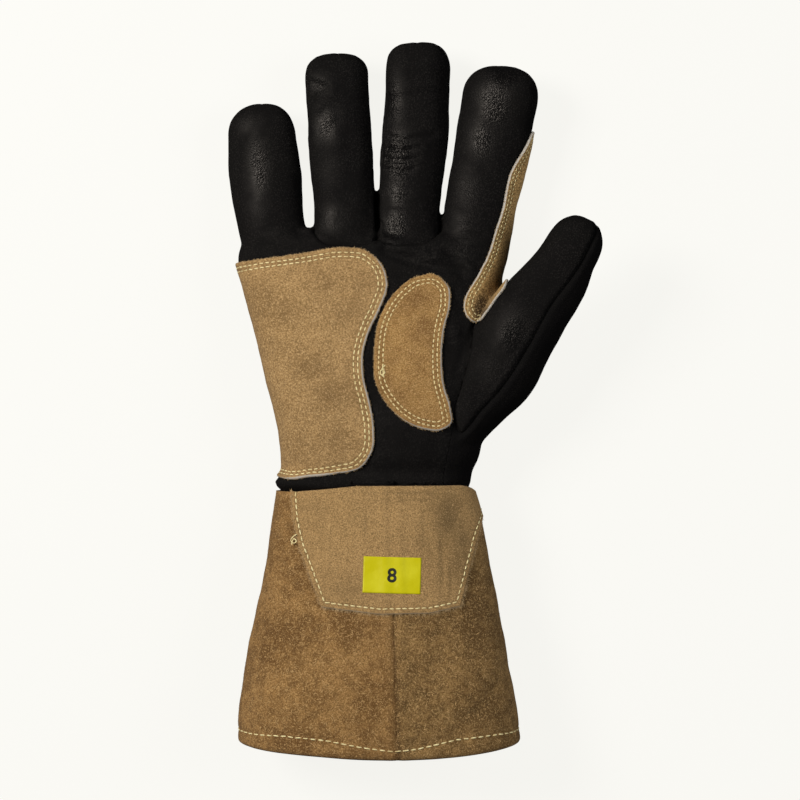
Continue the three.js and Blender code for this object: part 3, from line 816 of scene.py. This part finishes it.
suede_nap, given, gives = group(
    "suede_nap",
    [("Colour", "Color", (0.3, 0.2, 0.1, 1)), ("Deep", "Color", (0.15, 0.09, 0.04, 1)),
     ("Pale", "Color", (0.5, 0.4, 0.25, 1)), ("Cut edge", "Color", (0.4, 0.36, 0.31, 1)),
     ("Nap", "Float", 1.2), ("Mottle", "Float", 0.6), ("Edge", "Float", 10.0), ("Shade", "Float", 0.0)],
    [("Colour", "Color"), ("Height", "Float")],
)
skin = millimetres(suede_nap)
nap = node(
    suede_nap, "TexNoise",
    {"Vector": skin, "Scale": given["Nap"], "Detail": 4.0, "Roughness": 0.75, "Distortion": 0.4},
).outputs[0]
hairs = grainy(suede_nap, millimetres(suede_nap, (1.0, 0.7, 1.0)), 0.75, 2.0, 0.6, 2.4)
hairs = eased(suede_nap, hairs, 0.56, 0.74)
broad = grainy(suede_nap, skin, 0.05, 3.0, 0.55, 0.6)
cloud = sums(suede_nap, "ADD", broad, grainy(suede_nap, skin, 0.22, 2.0))
shade = sums(suede_nap, "MULTIPLY_ADD", eased(suede_nap, cloud, 0.78, 1.22), given["Mottle"], given["Shade"])
shade = node(suede_nap, "Clamp", {"Value": shade}).outputs[0]
colour = mixed(suede_nap, shade, given["Colour"], given["Deep"])
dips = sums(suede_nap, "MULTIPLY", eased(suede_nap, nap, 0.54, 0.36), 0.9)
tufts = sums(suede_nap, "MULTIPLY", eased(suede_nap, nap, 0.50, 0.66), 0.8)
colour = mixed(suede_nap, dips, colour, given["Deep"])
colour = mixed(suede_nap, tufts, colour, given["Pale"])
colour = mixed(suede_nap, sums(suede_nap, "MULTIPLY", hairs, 0.3), colour, given["Pale"])
frayed = sums(suede_nap, "MULTIPLY_ADD", nap, 0.9, given["Edge"])
colour = mixed(suede_nap, eased(suede_nap, frayed, 1.35, 1.0), colour, given["Cut edge"])
suede_nap.links.new(colour, gives["Colour"])
suede_nap.links.new(sums(suede_nap, "MULTIPLY_ADD", hairs, 0.5, nap), gives["Height"])


def suede(name, colour, deep, pale, nap, mottle, bump, cut=(0.37, 0.335, 0.285, 1)):
    """Suede of one colour, with its darker and paler naps."""
    values = {"Colour": colour, "Deep": deep, "Pale": pale, "Cut edge": cut}
    return finish(
        name, suede_nap, {**values, "Nap": nap, "Mottle": mottle, "Edge": "edge", "Shade": "shade"}, bump,
        rough=0.95, Specular_Ior_Level=0.08, Sheen_Weight=0.04, Sheen_Roughness=0.6,
    )


tan_suede = suede(
    "tan_suede", (0.347, 0.215, 0.089, 1), (0.155, 0.090, 0.034, 1), (0.520, 0.345, 0.163, 1),
    nap=1.35, mottle=0.35, bump=0.9,
)
gold_suede = suede(
    "gold_suede", (0.365, 0.210, 0.071, 1), (0.140, 0.068, 0.020, 1), (0.560, 0.370, 0.165, 1),
    nap=1.9, mottle=0.3, bump=1.0,
)
# The crotch patch's suede is the tan made paler, as painted light on the side that turns away from the key
# light. Its deep colour is near black, for the painted shadow that its spots lay in the crotch of the thumb.
crotch_suede_painted_light_and_shadow = suede(
    "tan_suede_painted_light_and_shadow", (0.440, 0.268, 0.098, 1), (0.040, 0.023, 0.009, 1), (0.560, 0.370, 0.165, 1),
    nap=1.6, mottle=0.15, bump=0.8, cut=(0.43, 0.40, 0.35, 1),
)


def finer(points, triangles):
    """The same surface with each triangle made into four."""
    first, second = edges_of(triangles).T
    count = len(points)
    keys = first.astype(np.int64) * count + second
    a, b, c = triangles.T
    ab, bc, ca = (count + edge_numbers(keys, count, p, q) for p, q in ((a, b), (b, c), (c, a)))
    made = np.concatenate([np.c_[a, ab, ca], np.c_[b, bc, ab], np.c_[c, ca, bc], np.c_[ab, bc, ca]])
    return np.r_[points, (points[first] + points[second]) / 2], made


def rows_at(points, triangles, value, level):
    """The lines on a surface where value has one level, longest first. Their points carry the direction
    out of the surface, as the surface's do."""
    value = value - level + 1e-7
    high = value[triangles] > 0
    cut = triangles[high.any(1) & ~high.all(1)]
    links, places = {}, {}
    for corners in cut.tolist():
        ends = []
        for p, q in zip(corners, corners[1:] + corners[:1]):
            if (value[p] > 0) != (value[q] > 0):
                key = (min(p, q), max(p, q))
                ends.append(key)
                share = value[key[0]] / (value[key[0]] - value[key[1]])
                places[key] = points[key[0]] + share * (points[key[1]] - points[key[0]])
        links.setdefault(ends[0], []).append(ends[1])
        links.setdefault(ends[1], []).append(ends[0])
    lines, seen = [], set()
    for start in sorted(links, key=lambda key: len(links[key])):
        if start in seen:
            continue
        line, here = [start], start
        seen.add(start)
        while True:
            ahead = [key for key in links[here] if key not in seen]
            if not ahead:
                break
            here = ahead[0]
            seen.add(here)
            line.append(here)
        if start in links[here] and len(line) > 2:
            line.append(start)
        lines.append(np.array([places[key] for key in line]))
    return sorted(lines, key=lambda line: -along(line[:, :3])[-1])


def two_toned(name, other, scale, low, high, fine_scale, fine_detail):
    """An effect's group that turns from its colour to another in soft patches, with a fine bump."""
    tree, given, gives = group(
        name, [("Colour", "Color", (0.5, 0.5, 0.5, 1)), (other, "Color", (0.4, 0.4, 0.4, 1))],
        [("Colour", "Color"), ("Height", "Float")],
    )
    place = millimetres(tree)
    share = eased(tree, grainy(tree, place, scale, 2.0), low, high)
    tree.links.new(mixed(tree, share, given["Colour"], given[other]), gives["Colour"])
    tree.links.new(grainy(tree, place, fine_scale, fine_detail), gives["Height"])
    return tree


thread = two_toned("twisted_thread", "Soiled", 0.5, 0.42, 0.72, 4.0, 1.0)
pale_thread = finish(
    "pale_thread", thread, {"Colour": (0.78, 0.68, 0.36, 1), "Soiled": (0.56, 0.43, 0.19, 1)}, 0.5,
    rough=0.55, Specular_Ior_Level=0.3, Sheen_Weight=0.1, Sheen_Roughness=0.5,
)


# A stitch from one end to the other: how far along it each ring lies, and how thick it is there
STITCH_REACH = np.array([-1.0, -0.82, -0.4, 0.4, 0.82, 1.0])
STITCH_GIRTH = np.array([0.35, 0.85, 1.0, 1.0, 0.85, 0.35])
STITCH_SIDES = 6


def columns_at(places, known, columns):
    """Each column of numbers, read at the given places from where it is known."""
    return np.stack([np.interp(places, known, column) for column in columns.T], axis=-1)


def stitches(lines, pitch, length, radius, seed):
    """Points and faces of stitches along lines on a surface. Each rises out of the leather and dips back."""
    chance = np.random.default_rng(seed)
    reach, girth = STITCH_REACH, STITCH_GIRTH
    turn = np.linspace(0, 2 * np.pi, STITCH_SIDES, endpoint=False)
    one = np.stack(bands(len(reach) - 1, STITCH_SIDES), axis=1)
    size_of_one = len(reach) * STITCH_SIDES
    all_points, all_faces, count = [], [], 0
    for line in lines:
        run = along(line[:, :3])
        number = max(int(run[-1] / pitch), 1)
        middle = (np.arange(number) + 0.5) * run[-1] / number
        here = columns_at(middle, run, line[:, :6])
        way = columns_at(middle + 0.4, run, line[:, :3]) - columns_at(middle - 0.4, run, line[:, :3])
        out = unit(here[:, 3:6])
        side = unit(np.cross(way, out))
        way = np.cross(out, side) + side * chance.normal(0, 0.07, (number, 1))
        size = length / 2 * chance.uniform(0.88, 1.08, (number, 1, 1, 1))
        fat = radius * chance.uniform(0.88, 1.12, (number, 1, 1, 1))
        lift = radius * (0.65 - 1.25 * reach**2)
        spread = (np.cos(turn)[None, :] * girth[:, None])[None, :, :, None]
        rise = (np.sin(turn)[None, :] * girth[:, None] * 0.8)[None, :, :, None]
        grid = (
            here[:, None, None, :3]
            + size * reach[None, :, None, None] * way[:, None, None, :]
            + fat * spread * side[:, None, None, :]
            + (fat * rise + lift[None, :, None, None]) * out[:, None, None, :]
        )
        all_points.append(grid.reshape(-1, 3))
        start = count + np.arange(number)[:, None, None] * size_of_one
        all_faces.append((one[None] + start).reshape(-1, 4))
        count += number * size_of_one
    return np.concatenate(all_points), np.concatenate(all_faces)


def strips(starts, ways, outs, length, width, curl, lift, seed):
    """Points and faces of loose fibres: thin curled strips that lie on a surface or stand off its edge."""
    chance = np.random.default_rng(seed)
    number, steps = len(starts), 4
    length = length * chance.uniform(0.5, 1.3, (number, 1))
    turn = curl * chance.normal(0, 1, (number, 1))
    side = np.cross(outs, ways)
    here, lines = starts + outs * lift * chance.uniform(0.3, 1.0, (number, 1)), []
    for step in range(steps):
        angle = turn * step
        way = ways * np.cos(angle) + side * np.sin(angle)
        across = np.cross(outs, way) * width * (0.5 if step < steps - 1 else 0.15)
        lines += [here - across, here + across]
        here = here + way * length / (steps - 1)
    grid = np.stack(lines, axis=1)
    first = np.arange(number)[:, None] * 2 * steps + np.arange(steps - 1) * 2
    faces = np.stack([first, first + 1, first + 3, first + 2], axis=-1).reshape(-1, 4)
    return grid.reshape(-1, 3), faces


def fibres_of(name, colour, soiled):
    """The material of the single fibres that stand off a suede or a split."""
    return finish(name, thread, {"Colour": colour, "Soiled": soiled}, 0.1, rough=0.9, Specular_Ior_Level=0.1)


fibre = fibres_of("loose_fibre", (0.46, 0.32, 0.165, 1), (0.30, 0.20, 0.10, 1))
EDGE_FIBRES = 700
# The groove that each row of stitches pulls into a patch, and the darker band that the rows leave
GROOVE, GROOVE_REACH = 0.24, 0.55
BAND, BAND_MARGIN = 0.35, 0.9
EDGE_ROUND = 0.8
SHORTEST_ROW = 6


def sewn_patch(
    name, region, raw_at, material, slot, seed, spots, rows=ROWS, stitch=(2.35, 1.7, 0.26),
    seen=(0.75, -0.66, 0.5), base=None, sewn_at=None, fuzz=0.75,
):
    """A patch cut from a surface by a region, with its stitches and the fuzz on its raw edges. raw_at says
    which parts of its outline are raw edges; the others are caught in a seam. The stitches follow the raw
    edges, or only where sewn_at says. A raw edge shows pale where it faces the way that seen points, and
    less of it shows with a higher third value. stitch is the pitch, length and radius of a stitch, and fuzz
    is the length of the fibres."""
    surface, triangles = base or (np.c_[form, form_normals], form_triangles)
    surface, triangles, _ = split(surface, triangles, region(surface))
    surface, triangles = finer(*used(surface, triangles))
    surface[:, 3:6] = normals_of(surface, triangles)
    rim = surface[rim_of(triangles)]
    samples = np.concatenate([rim[:, 0] * (1 - t) + rim[:, 1] * t for t in (0.0, 0.33, 0.66)])
    run = np.tile(rim[:, 1, :3] - rim[:, 0, :3], (3, 1))
    beyond = unit(np.cross(run, samples[:, 3:6]))
    edge, nearest = distances(surface[:, :3], samples[:, :3])
    raw = raw_at(samples)
    sewn, _ = distances(surface[:, :3], samples[raw & sewn_at(samples) if sewn_at else raw, :3])
    hidden = 1.2 * np.clip(seen[2] - beyond[nearest, :2] @ np.array(seen[:2]), 0, 1)
    rounding = np.clip(edge / EDGE_ROUND, 0, 1)
    outer = PATCH_LIFT + PATCH * (0.6 + 0.4 * np.sqrt(1 - (1 - rounding) ** 2))
    outer += 0.10 * swell(surface, 7.0, seed) + 0.05 * swell(surface, 1.6, seed)
    for row in rows:
        outer -= GROOVE * bell(sewn - row, GROOVE_REACH)
    shell, faces = leather(surface, triangles, outer, PATCH_LIFT)
    band = BAND * np.exp(-(((sewn - np.mean(rows)) / (np.ptp(rows) / 2 + BAND_MARGIN)) ** 4))
    shade = np.maximum(spotted(surface, spots), band)
    marks = {"edge": np.r_[edge + hidden, hidden], "shade": np.tile(shade, 2)}
    piece(name, shell, faces, material, slot, marks)
    top = np.c_[shell[: len(surface)], surface[:, 3:6]]
    lines = [line for row in rows for line in rows_at(top, triangles, sewn, row)]
    lines = [line for line in lines if along(line[:, :3])[-1] > SHORTEST_ROW]
    piece(name + "_stitches", *stitches(lines, *stitch, seed), pale_thread)
    chance = np.random.default_rng(seed)
    chosen = chance.choice(np.flatnonzero(raw), EDGE_FIBRES)
    outs, ways = samples[chosen, 3:6], beyond[chosen]
    ways = unit(ways + 1.1 * chance.normal(0, 1, (EDGE_FIBRES, 1)) * np.cross(outs, ways))
    starts = samples[chosen, :3] + outs * chance.uniform(0.4, 1.3, (EDGE_FIBRES, 1)) - ways * 0.2
    piece(name + "_fuzz", *strips(starts, ways, outs, fuzz, 0.09, 0.35, 0.1, seed), fibre)
    return top, triangles


# Darker places of the patches, as the grain's spots are given
HEEL_SPOTS = [
    (-69.8, 46.6, 9, 9, 0.65), (-59, 41, 10, 7, 0.6), (-38.6, 53.5, 9, 6, 0.4), (-23.9, 53.5, 7, 5, 0.4),
    (-29.4, 39.7, 10, 7, 0.35), (-46.7, 15.5, 8, 6, 0.65), (-36.3, 3.9, 10, 7, 0.7),
    (-52.3, -20, 10, 6, 0.35), (-34, -17.7, 8, 6, 0.35), (-62, 26, 7, 6, 0.25),
]
CENTRE_SPOTS = [
    (0.5, 46.6, 9, 7, 0.5), (5, 32.8, 8, 8, 0.55), (-13.3, 7.6, 5, 6, 0.6), (-6.4, 3, 5, 4, 0.45),
    (2, 18, 7, 7, 0.25),
]
# The crotch patch's spots are painted shadow, deep in the crotch of the thumb under its overhang.
CROTCH_SHADOW_SPOTS = [(30.5, 41.8, 5, 6.5, 1.3), (35, 48, 4, 6, 0.5)]
heel_line, centre_line = flowing(HEEL_PATCH), flowing(CENTRE_PATCH)
crotch_line = np.r_[flowing(CROTCH_PATCH, closed=False), [(64, 125)]]
sewn_patch(
    "heel_patch",
    lambda p: np.minimum(within(p, heel_line), above_seam(p, SIDE_SEAM) + 2),
    lambda p: np.abs(within(p, heel_line)) < 0.3,
    tan_suede, "tan_suede", 11, HEEL_SPOTS, stitch=(2.8, 2.1, 0.26),
)
centre_top, _ = sewn_patch(
    "centre_patch",
    lambda p: np.minimum(within(p, centre_line), above_seam(p, SIDE_SEAM) - 1),
    lambda p: np.abs(within(p, centre_line)) < 0.3,
    gold_suede, "gold_suede", 12, CENTRE_SPOTS,
)


# A loose end of thread is a row of short pieces that overlap: their pitch, length, radius and seed
LOOSE_THREAD = (0.55, 0.8, 0.24, 31)


def loose_end(name, surface, path, lift):
    """A bit of thread that lies on a surface, along corners that are drawn as seen from the palm side."""
    surface = surface[surface[:, 5] > 0.2]
    path = fair(np.arange(len(path)), path, 0.25)[1]
    flat_path, flat_surface = (np.c_[places[:, :2], np.zeros(len(places))] for places in (path, surface))
    line = surface[distances(flat_path, flat_surface)[1]]
    line[:, :2] = path
    line[:, :3] += line[:, 3:6] * lift
    piece(name, *stitches([line], *LOOSE_THREAD), pale_thread)


# The patch's thread ends in a small knot
KNOT = [
    (-13.2, 16.4), (-14.6, 14.6), (-13.2, 13.2), (-14.8, 12.0), (-15.2, 13.8), (-13.6, 14.6),
    (-14.4, 11.4),
]
loose_end("centre_patch_knot", centre_top, KNOT, 0.35)
sewn_patch(
    "crotch_patch",
    lambda p: np.minimum(within(p, crotch_line), p[:, 2] - CROTCH_PATCH_LOW),
    lambda p: np.abs(within(p, crotch_line)) < 0.3,
    crotch_suede_painted_light_and_shadow, "tan_suede", 13, CROTCH_SHADOW_SPOTS, rows=(1.7, 3.3), stitch=(2.1, 1.5, 0.2),
    seen=(0, 0, 0.25), sewn_at=lambda p: p[:, 0] < 29 + 0.42 * (p[:, 1] - 36),
)

# The gauntlet is two panels of brown split leather, sewn together down the front and the back and sewn
# over the wrist. It flares to a hem that is turned in and held by one row of stitches.
CUFF_WALL = 2.0
HEM_FOLD = 1.7
HEM_TOP = -146.5
HEM_ROW = 6.0
# How much higher the row of stitches runs above the hem at the front, by x
HEM_WAVE = [
    (-72, 0), (-60, 0.4), (-39, -0.4), (-23, -2.0), (-9, -3.0), (1, -2.4), (19, 0), (35, 0.4), (46, 0),
]
HEM_STITCH = (3.5, 2.7, 0.30)
HEM_CREASE, HEM_REACH = 0.45, 1.3
# How much the hem is drawn in at the left, and how much lower the upper edge runs round the thumb's side
HEM_DRAWN_IN, SIDE_DROP = 0.8, 2.2
# Where the front half of the gauntlet begins, by height, and within what height it's fully there
FRONT_HALF = (20, 14)
CUFF_ROUND = 2.3
CUFF_COUNT = 264
# From the hem up to the wrist: y, left, right, back, front and how far front and back run past the sides
CUFF = [
    (-155.5, -80.2, 49.2, -1.2, 57.0, 5), (-143.0, -80.4, 47.4, -1.2, 56.0, 0),
    (-118.0, -77.2, 42.6, -1.2, 53.0, 0), (-92.0, -72.0, 38.2, -1.2, 49.6, 0),
    (-64.0, -66.6, 32.8, -1.0, 45.8, 0), (-50.0, -64.4, 30.2, -0.6, 43.8, 0),
    (-41.0, -63.4, 27.2, 0.2, 42.2, 0),
]
# The line of the seam down the front, and the welt of leather on each side of its crease: a place beside
# it, a reach and a height
CUFF_SEAM = ((-11.6, -20), (-6.6, -180))
SEAM_CREASE, SEAM_REACH = 1.15, 0.9
WELT_PLACE, WELT_REACH, WELT = 3.4, 1.9, 0.45
# How much higher the upper edge runs, by x
EDGE_RISE = [(-64, 0), (-53, 0), (-38, 1.4), (-26, 2.7), (28, 2.7)]
# Dents and folds of the gauntlet's front: a line of corners, its depth and its width
CUFF_FOLDS = [
    ([(-68, -92), (-74, -118), (-77, -140)], 1.3, 6.0), ([(44, -122), (33, -136), (22, -146)], 1.2, 5.0),
    ([(-52, -62), (-46, -78), (-40, -96)], 0.5, 5.0), ([(12, -46), (20, -50), (24, -62)], 0.8, 4.0),
    ([(-30, -126), (-22, -140), (-16, -150)], -0.5, 9.0),
]
# Soft lumps of the gauntlet, as the hand's are given
CUFF_LUMPS = [(0.9, 30.0, 2.2), (0.35, 11.0, 4.4), (0.08, 4.0, 6.6)]


def cuff_ring(row, inward):
    """A section of the gauntlet, drawn in by some millimetres."""
    y, left, right, back, front, bow = row
    middle = np.array([(left + right) / 2, y, (back + front) / 2])
    w, h = (right - left) / 2 - inward, (front - back) / 2 - inward
    ring = ring_of(middle, ACROSS, UPWARDS, w, h, CUFF_ROUND, CUFF_COUNT)
    ring[:, 1] -= bow * ((ring[:, 2] - middle[2]) / h) ** 2
    ring[:, 2] = np.maximum(ring[:, 2], inward)
    return ring


# The way round the wall: down the outside, round the fold of the hem, up its turned-in edge and on up the
# inside to the wrist. Each step is a place along y and how far inward it is.
cuff_y, cuff_rows = fair([row[0] for row in CUFF], CUFF, 1.15)
hem_y, wrist_y = CUFF[0][0], CUFF[-1][0]
fold_middle = (CUFF_WALL + HEM_FOLD) / 2
bend = np.linspace(0, np.pi, 9)
path = [(y, 0.0) for y in cuff_y[::-1] if y > hem_y + fold_middle]
outer_rows = len(path)
path += [(hem_y + fold_middle * (1 - np.sin(t)), fold_middle * (1 - np.cos(t))) for t in bend]
path += [(y, 2 * fold_middle) for y in np.arange(hem_y + fold_middle + 1.5, HEM_TOP, 1.5)]
path += [(HEM_TOP, CUFF_WALL + 0.75 * HEM_FOLD), (HEM_TOP + 0.3, CUFF_WALL)]
path += [(y, CUFF_WALL) for y in np.arange(HEM_TOP + 3, wrist_y, 3.0)]
path += [(wrist_y - 0.2, CUFF_WALL)]
cuff = np.concatenate([cuff_ring(columns_at(y, cuff_y, cuff_rows), inward) for y, inward in path])
cuff_outer = np.concatenate([cuff_ring(columns_at(y, cuff_y, cuff_rows), 0.0) for y, _ in path])
a, b, d, c = (numbers % len(cuff) for numbers in bands(len(path), CUFF_COUNT))
cuff_triangles = np.concatenate([np.c_[a, b, c], np.c_[b, d, c]])
outer_count = outer_rows * CUFF_COUNT
skin_triangles = cuff_triangles[(cuff_triangles < outer_count).all(1)]
cuff_out = normals_of(cuff_outer, skin_triangles)
lowest_ring = cuff_out[outer_count - CUFF_COUNT : outer_count]
cuff_out[outer_count:] = np.tile(lowest_ring, (len(path) - outer_rows, 1))
high = np.array([y for y, _ in path]).repeat(CUFF_COUNT)
slump = lumps(cuff_outer, CUFF_LUMPS)
for line, depth, width in CUFF_FOLDS:
    slump -= depth * bell(line_distance(cuff_outer, line), width) * upward(cuff_out)
slump *= ramp(-high, 42.5, 10)
wave = np.interp(cuff_outer[:, 0], *zip(*HEM_WAVE)) * ramp(cuff_outer[:, 2], *FRONT_HALF)
from_row = high - hem_y - HEM_ROW - wave
slump -= HEM_CREASE * bell(from_row, HEM_REACH) * (1 + 0.4 * swell(cuff_outer, 3.2, 8.8))


def right_of_seam(points):
    """Distance to the right of the gauntlet's seam line, seen from the palm side."""
    way = np.subtract(CUFF_SEAM[1], CUFF_SEAM[0])
    way = way / np.linalg.norm(way)
    away = points[:, :2] - np.array(CUFF_SEAM[0])
    return away[:, 1] * way[0] - away[:, 0] * way[1]


from_seam = np.abs(right_of_seam(cuff_outer))
slump += WELT * bell(from_seam - WELT_PLACE, WELT_REACH) * (1 + 0.3 * swell(cuff_outer, 5.0, 9.9))
cuff = cuff + slump[:, None] * cuff_out
# The upper edge is sewn on higher over the palm, and lower round the thumb's side
over_palm = np.interp(cuff[:, 0], *zip(*EDGE_RISE)) * ramp(cuff[:, 2], *FRONT_HALF)
over_side = SIDE_DROP * ramp(cuff[:, 0], 21, 10) ** 2
cuff[:, 1] += (over_palm - over_side) * ramp(high, -56, 15)
# The hem is drawn in a little at the left
cuff[:, 1] += HEM_DRAWN_IN * bell(cuff[:, 0] + 45, 20) * ramp(-high, 140, 10)
cuff[:, 2] = np.maximum(cuff[:, 2], 0.0)
cuff_points = np.c_[cuff, cuff_out]

brown_split = suede(
    "brown_split", (0.300, 0.167, 0.058, 1), (0.118, 0.058, 0.018, 1), (0.450, 0.280, 0.112, 1),
    nap=1.5, mottle=0.8, bump=1.0,
)
dark_split = suede(
    "dark_split", (0.252, 0.147, 0.053, 1), (0.090, 0.048, 0.016, 1), (0.390, 0.255, 0.106, 1),
    nap=1.5, mottle=0.8, bump=1.0,
)
# Darker places of the left and the right panel. Most are painted shade: under and beside the edges of the
# tab, and in the folds of the front.
CUFF_SPOTS = [
    (-47.7, -104.9, 12, 7, 0.6), (-29.4, -102.6, 12, 7, 0.7), (-67, -109.5, 5, 10, 0.5),
    (-22.5, -137, 10, 14, 0.45), (-13, -120, 4, 20, 0.5), (-52, -153, 20, 5, 0.4),
    (-52, -79.6, 4, 9, 0.6), (7.3, -100, 14, 6, 0.5), (25.7, -95.7, 6, 10, 0.8),
    (30.3, -127.8, 10, 8, 0.4), (34.9, -137, 8, 6, 0.6), (0.5, -132, 8, 12, 0.35),
]
# No raw edge of the panels shows, so every point of them counts as this far from one
NO_EDGE = 9.0
sewn_cuff, right_side, left_side = split(cuff_points, cuff_triangles, right_of_seam(cuff_points))
from_seam = np.abs(right_of_seam(sewn_cuff))
sewn_cuff[:, :3] -= SEAM_CREASE * bell(from_seam, SEAM_REACH)[:, None] * sewn_cuff[:, 3:6]
for name, side, material, slot in (
    ("cuff_left", left_side, brown_split, "brown_split"), ("cuff_right", right_side, dark_split, "dark_split")
):
    points, faces = used(sewn_cuff, side)
    # Each panel also darkens along the crease of the front seam, as painted shade.
    shade = np.maximum(spotted(points, CUFF_SPOTS), 0.8 * bell(right_of_seam(points), SEAM_REACH))
    piece(name, points[:, :3], faces, material, slot, {"edge": np.full(len(points), NO_EDGE), "shade": shade})

hem_surface, hem_triangles = used(cuff_points, skin_triangles)
hem_lines = rows_at(hem_surface, hem_triangles, from_row[: len(hem_surface)], 0.0)
piece("hem_stitches", *stitches(hem_lines, *HEM_STITCH, 21), pale_thread)

# Short fibres lie all over the outside of the split
HAIRS = 8000
HAIR_LENGTH, HAIR_WIDTH, HAIR_CURL, HAIR_LIFT = 1.4, 0.17, 0.22, 0.15
chance = np.random.default_rng(22)
corners = hem_surface[hem_triangles]
a, b, c = (corners[:, k, :3] for k in range(3))
area = np.linalg.norm(np.cross(b - a, c - a), axis=1)
chosen = corners[chance.choice(len(area), HAIRS, p=area / area.sum())]
share = chance.dirichlet((1, 1, 1), HAIRS)[:, :, None]
starts = (chosen * share).sum(1)
outs = unit(starts[:, 3:6])
ways = unit(np.cross(outs, chance.normal(0, 1, (HAIRS, 3))))
points, faces = strips(starts[:, :3], ways, outs, HAIR_LENGTH, HAIR_WIDTH, HAIR_CURL, HAIR_LIFT, 23)
split_fibre = fibres_of("split_fibre", (0.48, 0.305, 0.13, 1), (0.25, 0.145, 0.052, 1))
piece("cuff_nap", points, faces, split_fibre)

# The tab is a piece of tan suede over the top of the gauntlet. Its upper edge is caught in the wrist
# seam, and one row of stitches holds the other sides. Its lower edge is left raw.
TAB = [
    (-55.6, -35), (-55.4, -41.2), (-54.6, -53.6), (-52.2, -65), (-41.6, -92.6), (-15.4, -95.6),
    (6.8, -95.2), (20.6, -92.6), (30.6, -54), (31.4, -35),
]
TAB_LOW = 24
# Darker places of the tab. The narrow ones are painted shade along its wrinkles.
TAB_SPOTS = [
    (14.4, -53.4, 6, 13, 0.85), (20, -68, 6, 16, 0.75), (10, -44, 7, 5, 0.4), (-46, -48, 8, 4, 0.3),
    (-30, -84, 9, 5, 0.35), (6, -70, 5, 12, 0.35), (-10, -44, 14, 3, 0.3), (11.4, -66, 1.5, 24, 0.8),
    (15.6, -76, 1.2, 15, 0.7), (-4, -41.6, 17, 1.1, 0.6), (3, -44.8, 12, 0.9, 0.5),
    (3.4, -60, 1.3, 13, 0.45), (-22, -56, 1.3, 11, 0.35), (19.6, -62, 1.1, 12, 0.5),
]
tab_suede = suede(
    "tab_suede", (0.340, 0.207, 0.083, 1), (0.135, 0.084, 0.034, 1), (0.480, 0.315, 0.142, 1),
    nap=1.7, mottle=0.2, bump=0.8, cut=(0.36, 0.27, 0.165, 1),
)
tab_top, tab_triangles = sewn_patch(
    "cuff_tab",
    lambda p: np.minimum(within(p, TAB), p[:, 2] - TAB_LOW),
    lambda p: np.abs(within(p, TAB)) < 0.4,
    tab_suede, "tan_suede", 14, TAB_SPOTS, rows=(2.4,), stitch=(2.9, 2.3, 0.29), seen=(0.0, -0.7, 1.0),
    base=(hem_surface, hem_triangles), fuzz=1.5,
)
# The end of the tab's thread curls up beside it
CURL = [
    (-52.6, -60.4), (-54.2, -61.6), (-55.0, -63.2), (-53.8, -64.4), (-52.6, -63.4), (-53.8, -62.4),
    (-54.8, -65.0),
]
loose_end("tab_loose_thread", hem_surface, CURL, 1.7)

# The size label is a small sticker of yellow paper on the tab, printed with a plain black figure. It
# follows the tab's surface under it.
LABEL_PLACE, LABEL_WIDTH, LABEL_HEIGHT = (-10, -78), 26, 16.2
LABEL_TURN = np.radians(-1.8)
LABEL_COLUMNS, LABEL_ROWS = 40, 26
LABEL_LIFT, PAPER, INK_LIFT = 0.18, 0.16, 0.24
OVER_TAB = 90
FIGURE_SIZE, FIGURE_BOLDNESS = 8.6, 0.22
tab_tree = BVHTree.FromPolygons(tab_top[:, :3].tolist(), tab_triangles.tolist())


def onto_tab(over, up, lift):
    """Points given from the middle of the label, along and up it, laid on the tab's surface."""
    (x, y), cos, sin = LABEL_PLACE, np.cos(LABEL_TURN), np.sin(LABEL_TURN)
    laid = []
    for px, py in np.c_[x + over * cos - up * sin, y + over * sin + up * cos]:
        found = tab_tree.ray_cast((px, py, OVER_TAB), (0, 0, -1))
        laid.append((px, py, found[0].z + lift))
    return np.array(laid)


over, up = np.meshgrid(
    np.linspace(-0.5, 0.5, LABEL_COLUMNS) * LABEL_WIDTH, np.linspace(-0.5, 0.5, LABEL_ROWS) * LABEL_HEIGHT
)
sticker = onto_tab(over.ravel(), up.ravel(), LABEL_LIFT)
row, column = np.meshgrid(np.arange(LABEL_ROWS - 1), np.arange(LABEL_COLUMNS - 1), indexing="ij")
a = (row * LABEL_COLUMNS + column).ravel()
b, c, d = a + 1, a + LABEL_COLUMNS + 1, a + LABEL_COLUMNS
sticker_triangles = np.concatenate([np.c_[a, b, c], np.c_[a, c, d]])
sticker_out = normals_of(sticker, sticker_triangles)
shell, faces = leather(np.c_[sticker, sticker_out], sticker_triangles, 0.0, -PAPER)
paper = two_toned("printed_paper", "Faded", 0.08, 0.35, 0.75, 0.8, 2.0)
yellow_paper = finish(
    "yellow_paper", paper, {"Colour": (0.450, 0.405, 0.003, 1), "Faded": (0.520, 0.480, 0.016, 1)}, 0.25,
    rough=0.4, Specular_Ior_Level=0.15,
)
piece("size_label", shell, faces, yellow_paper, "label")

ink = finish(
    "black_ink", paper, {"Colour": (0.010, 0.011, 0.008, 1), "Faded": (0.020, 0.020, 0.012, 1)}, 0.1,
    rough=0.5,
)
figure = bpy.data.curves.new("figure", "FONT")
figure.body = "8"
figure.size = FIGURE_SIZE
figure.offset = FIGURE_BOLDNESS
figure.align_x = "CENTER"
figure.align_y = "CENTER"
stand_in = bpy.data.objects.new("figure", figure)
scene.collection.objects.link(stand_in)
flat = bpy.data.meshes.new_from_object(stand_in.evaluated_get(bpy.context.evaluated_depsgraph_get()))
bpy.data.objects.remove(stand_in)
flat.calc_loop_triangles()
corners = np.array([v.co[:2] for v in flat.vertices])
corners -= (corners.min(0) + corners.max(0)) / 2
figure_triangles = np.array([t.vertices for t in flat.loop_triangles])
piece("size_figure", onto_tab(corners[:, 0], corners[:, 1], INK_LIFT), figure_triangles, ink)
